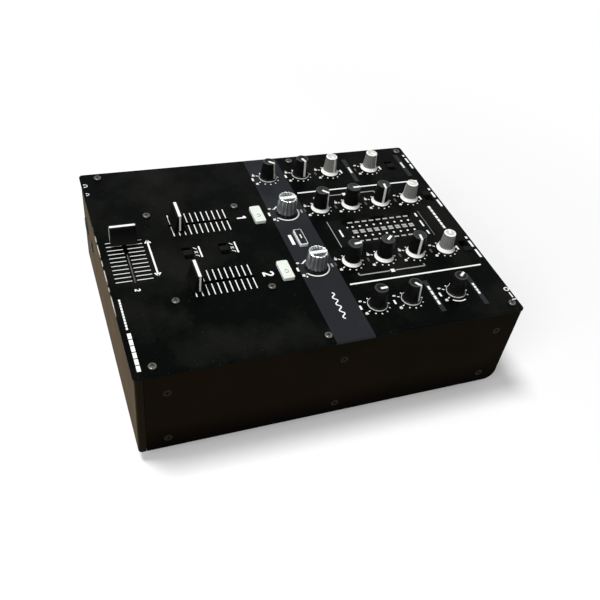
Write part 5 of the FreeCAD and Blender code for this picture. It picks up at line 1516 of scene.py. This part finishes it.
    def edge_signs(self) -> None:
        """Headphones by the front sockets, ring and lines by the power switch, bar, wave and dashes."""
        self.ink(headphone_mark(1.7, 0.5), -99.0, self.front_y)
        self.ink(headphone_mark(1.3, 0.45), -87.0, self.front_y)
        switch_y = self.rear_y + 0.6
        self.ink([dash(95.2, 101.0, 1.1), stroke([(103.2, -1.9), (103.2, 1.9)], 1.0)], 0.0, switch_y)
        self.ink([stroke(arc(1.8, 0, 360, count=25)[:-1], 0.9, True)], 91.3, switch_y - 0.2)
        self.ink([dash(-6.2, 6.2, 2.6)], 0.0, -1.6)
        wave = np.linspace(-14.0, 14.0, 65)
        self.ink([stroke(np.column_stack([wave, 1.4 * np.sin(wave * np.pi / 3.5)]), 1.0)], 79.5, 7.3)
        self.dashes(-21.5, 11.0, 132.8, 2.2, 7)
        self.dashes(40.0, 71.0, -143.5, 1.3, 11)
        self.dashes(74.0, 110.0, -143.2, 2.6, 6, 0.86)

    def build(self) -> None:
        """Draw everything and make one piece of each ink."""
        self.dials()
        self.fader_scales()
        self.rules()
        self.label_bars()
        self.meter()
        self.switch_signs()
        self.edge_signs()
        for name, layer, finish in (("white", self.white, WHITE_INK), ("grey", self.soft, SOFT_INK),
                                    ("faint", self.faint, FAINT_INK), ("bars", self.bars, BAR_INK)):
            make_piece(f"panel_print_{name}", layer, finish)


# Sockets

@dataclass
class Sockets:
    """Metal parts and print of the sockets in the front and rear panels."""

    pin_r: float = 1.2
    proud: float = 0.06              # pins drawn this much over the solids' own
    output_circle: float = 4.1       # radius on which an output's three pins stand
    output_root: float = 16.0        # their foot behind the face
    output_pin: float = 12.0         # their length
    mains_half: float = 4.3          # half the space between the inlet's pins
    mains_root: float = 12.0
    mains_pin: float = 10.0
    nut_h: float = 0.86
    large_nut: tuple[float, float] = (7.05, 3.2)    # outer and inner radius
    mini_nut: tuple[float, float] = (4.65, 1.8)
    nut_soft: float = 0.2            # chamfer of a nut's outer edge
    nut_sink: float = 0.25           # chamfer of its bore
    nut_segments: int = 240
    knurls: int = 60
    knurl_depth: float = 0.012       # share of the radius
    outputs: tuple[str, str] = ("balanced_output_left", "balanced_output_right")

    def pin(self, length: float) -> Shell:
        """Contact pin along +Z, whose end is a half ball.

        Args:
            length: Length of the solid's pin.

        Returns:
            The closed surface, a little over that size.
        """
        radius, top = self.pin_r + self.proud, length + self.proud
        angle = np.linspace(0.0, np.pi / 2, 6)
        tip = list(zip(radius * np.cos(angle), top - radius + radius * np.sin(angle)))
        return lathe([(0.0, 0.0), (radius, 0.0)] + tip, 20)

    def ring_nut(self, outer: float, inner: float) -> Shell:
        """Ring nut with a knurled edge.

        Args:
            outer: Outer radius.
            inner: Radius of the bore.

        Returns:
            The closed surface, from 0 up.
        """
        top, soft, sink = self.nut_h, self.nut_soft, self.nut_sink
        profile = [(inner, 0.0), (outer, 0.0), (outer, top - soft), (outer - soft, top),
                   (inner + sink, top), (inner, top - sink)]
        return lathe(profile, self.nut_segments, self.knurl, ring=True)

    def knurl(self, angle: np.ndarray, _height: np.ndarray) -> np.ndarray:
        """Factor on the radius that makes the knurl: a cosine wave round the nut."""
        return 1.0 + self.knurl_depth * np.cos(self.knurls * angle)

    def build(self) -> None:
        """Make pins, nuts and the rear panel's print."""
        mounts = {mount["name"]: np.array(mount["pos_m"]) / MM for mount in frame["record"]["mounts"]}
        pins = []
        for name in self.outputs:
            x, y, z = mounts[name]
            for k in range(3):
                angle = -math.pi / 2 + k * 2 * math.pi / 3
                place = (x + self.output_circle * math.cos(angle), y - self.output_root,
                         z + self.output_circle * math.sin(angle))
                pins.append(self.pin(self.output_pin).on_rear(*place))
        x, y, z = mounts["mains_inlet"]
        for s in (-1, 1):
            pins.append(self.pin(self.mains_pin).on_rear(x + s * self.mains_half, y - self.mains_root, z))
        make_piece("socket_pins", pins, NICKEL)
        nuts = []
        for name, radii in (("phones_socket_large", self.large_nut), ("phones_socket_mini", self.mini_nut)):
            x, _, z = mounts[name]
            nuts.append(self.ring_nut(*radii).on_front(x, FRONT_FACE, z))
        make_piece("front_ring_nuts", nuts, SOCKET_ABS)
        x, _, z = mounts["microphone_socket"]
        nut = self.ring_nut(*self.large_nut).on_rear(x, REAR_FACE, z)
        make_piece("rear_ring_nut", [nut], DARK_NICKEL)
        self.rear_print(mounts)

    def rear_print(self, mounts: dict[str, np.ndarray]) -> None:
        """Rules over the pairs of phono sockets and dashes at the other sockets.

        Args:
            mounts: Each mount's place, in millimetres.
        """
        upper = [place for name, place in mounts.items()
                 if name.startswith("phono") and name.endswith("upper")]
        marks = [dash(-4.5, 4.5, 0.9).on_rear(x, REAR_FACE, z + 9.5) for x, _, z in upper]
        for left, right in zip(upper[0::2], upper[1::2]):
            middle = (left[0] + right[0]) / 2
            marks.append(dash(-14.0, 14.0, 0.6).on_rear(middle, REAR_FACE, left[2] + 12.5))
        above = {"microphone_socket": 10.5, **dict.fromkeys(self.outputs, 19.0)}
        for name, gap in above.items():
            x, _, z = mounts[name]
            marks.append(dash(-5.0, 5.0, 1.0).on_rear(x, REAR_FACE, z + gap))
        make_piece("rear_print", marks, WHITE_INK)


# Stage, light and camera

@dataclass(frozen=True)
class PhotoCamera:
    """Camera at the photograph's place, counted in millimetres from the middle of the plate's top."""

    azimuth: float = 61.606
    elevation: float = 45.039
    roll: float = 10.788
    place: tuple[float, float, float] = (430.689, -192.23, 364.514)
    focal_px: float = 742.759
    axis_px: tuple[float, float] = (320.0, 341.0)   # where the lens axis meets the picture
    near_m: float = 0.01

    def build(self) -> None:
        """Set the camera up: its axes come from the angles, turned by the roll."""
        a, e, r = (math.radians(v) for v in (self.azimuth, self.elevation, self.roll))
        ahead = np.array([-math.sin(a) * math.cos(e), math.cos(a) * math.cos(e), -math.sin(e)])
        right = np.array([math.cos(a), math.sin(a), 0.0])
        down = np.cross(ahead, right)
        x_axis = math.cos(r) * right - math.sin(r) * down
        y_axis = -(math.sin(r) * right + math.cos(r) * down)
        place = (np.array(self.place) + np.array([0.0, PANEL_Y, PANEL_TOP])) * MM
        data = bpy.data.cameras.new("photo_camera")
        data.sensor_fit = "HORIZONTAL"
        data.sensor_width = SENSOR_MM
        data.lens = self.focal_px / PHOTO_PX * SENSOR_MM
        data.shift_x = (PHOTO_PX / 2 - self.axis_px[0]) / PHOTO_PX
        data.shift_y = (self.axis_px[1] - PHOTO_PX / 2) / PHOTO_PX
        data.clip_start = self.near_m
        camera = bpy.data.objects.new("photo_camera", data)
        axes = np.column_stack([x_axis, y_axis, -ahead])
        camera.matrix_world = Matrix([[*axes[i], place[i]] for i in range(3)] + [[0, 0, 0, 1]])
        bpy.context.scene.collection.objects.link(camera)
        bpy.context.scene.camera = camera


@dataclass(frozen=True)
class Lamp:
    """A square soft lamp that looks at the origin."""

    name: str
    place: tuple[float, float, float]    # metres
    size: float                          # metres along a side
    power: float                         # watts

    def build(self) -> None:
        """Hang the lamp, with its back along the line from the origin."""
        data = bpy.data.lights.new(self.name, "AREA")
        data.size = self.size
        data.energy = self.power
        lamp = bpy.data.objects.new(self.name, data)
        lamp.location = self.place
        lamp.rotation_euler = Vector(self.place).to_track_quat("Z", "Y").to_euler()
        bpy.context.scene.collection.objects.link(lamp)


@dataclass(frozen=True)
class Studio:
    """White floor, soft lamps and an even pale sky."""

    floor_half: float = 6.0            # metres
    floor_colour: str = "#fdfdfd"
    floor_glow: float = 0.2            # share of plain white in the floor seen by the camera, near the part
    glow_from: float = 0.2             # metres from the part's middle at which the floor starts to turn white
    glow_to: float = 0.6               # metres at which it is all white
    sky_strength: float = 0.22
    lamps: tuple[Lamp, ...] = (
        Lamp("key_lamp", (-0.22, -0.6, 2.4), 0.62, 46.0),
        Lamp("fill_lamp", (0.9, -1.2, 1.0), 0.9, 11.0),
    )

    def build(self) -> None:
        """Set up the floor, the sky and the lamps."""
        self.build_floor()
        self.build_sky()
        for lamp in self.lamps:
            lamp.build()

    def seen(self, tree: bpy.types.NodeTree) -> bpy.types.NodeSocket:
        """1 on rays from the camera and on mirror and glass rays, else 0.

        Args:
            tree: The nodes of the floor or the sky.

        Returns:
            Value socket.
        """
        path = add_node(tree, "ShaderNodeLightPath").outputs
        mirror = add_node(tree, "ShaderNodeMath", {
            0: path["Is Glossy Ray"], 1: path["Is Transmission Ray"]}, operation="MAXIMUM").outputs[0]
        return add_node(tree, "ShaderNodeMath", {0: path["Is Camera Ray"], 1: mirror},
                        operation="MAXIMUM").outputs[0]

    def build_floor(self) -> None:
        """White floor that keeps the shadow."""
        half = self.floor_half
        mesh = bpy.data.meshes.new("floor")
        corners = [(-half, -half, 0), (half, -half, 0), (half, half, 0), (-half, half, 0)]
        mesh.from_pydata(corners, [], [(0, 1, 2, 3)])
        material = bpy.data.materials.new("white_floor")
        material.use_nodes = True
        tree = material.node_tree
        tree.nodes.clear()
        matt = add_node(tree, "ShaderNodeBsdfDiffuse", {"Color": linear(self.floor_colour)})
        glow = add_node(tree, "ShaderNodeEmission", {"Strength": 1.0})
        place = add_node(tree, "ShaderNodeTexCoord").outputs["Object"]
        away = add_node(tree, "ShaderNodeVectorMath", {0: place}, operation="LENGTH").outputs["Value"]
        white = add_node(tree, "ShaderNodeMapRange", {
            "Value": away, "From Min": self.glow_from, "From Max": self.glow_to, "To Min": self.floor_glow},
            interpolation_type="SMOOTHSTEP").outputs["Result"]
        share = add_node(tree, "ShaderNodeMath", {0: self.seen(tree), 1: white}, operation="MULTIPLY")
        mix = add_node(tree, "ShaderNodeMixShader", {
            0: share.outputs[0], 1: matt.outputs[0], 2: glow.outputs[0]})
        add_node(tree, "ShaderNodeOutputMaterial", {"Surface": mix.outputs[0]})
        mesh.materials.append(material)
        floor = bpy.data.objects.new("floor", mesh)
        bpy.context.scene.collection.objects.link(floor)

    def build_sky(self) -> None:
        """White sky for the camera and for mirrors, dimmer as a light."""
        world = bpy.data.worlds.new("studio_sky")
        world.use_nodes = True
        tree = world.node_tree
        tree.nodes.clear()
        strength = add_node(tree, "ShaderNodeMapRange", {
            "Value": self.seen(tree), "To Min": self.sky_strength, "To Max": 1.0}).outputs["Result"]
        sky = add_node(tree, "ShaderNodeBackground", {"Color": (1.0, 1.0, 1.0, 1.0), "Strength": strength})
        add_node(tree, "ShaderNodeOutputWorld", {"Surface": sky.outputs[0]})
        bpy.context.scene.world = world


def main() -> None:
    """Dress the part and set up the studio."""
    logging.basicConfig(level=logging.INFO)
    bpy.context.scene.view_settings.view_transform = "Standard"
    CadDress().dress()
    knobs = KnobSet().build()
    faders = [Fader(body) for body in ("channel_fader_1", "channel_fader_2", "crossfader")]
    for fader in faders:
        fader.build()
    for node in ("cue_button_1", "cue_button_2", "filter_button"):
        Button(node).build()
    for node in ("input_switch_1", "input_switch_2", "aux_switch", "channel_curve_switch",
                 "cross_curve_switch"):
        SwitchLever(node).build()
    PanelPrint(knobs, faders).build()
    Sockets().build()
    Studio().build()
    PhotoCamera().build()


if __name__ == "__main__":
    main()
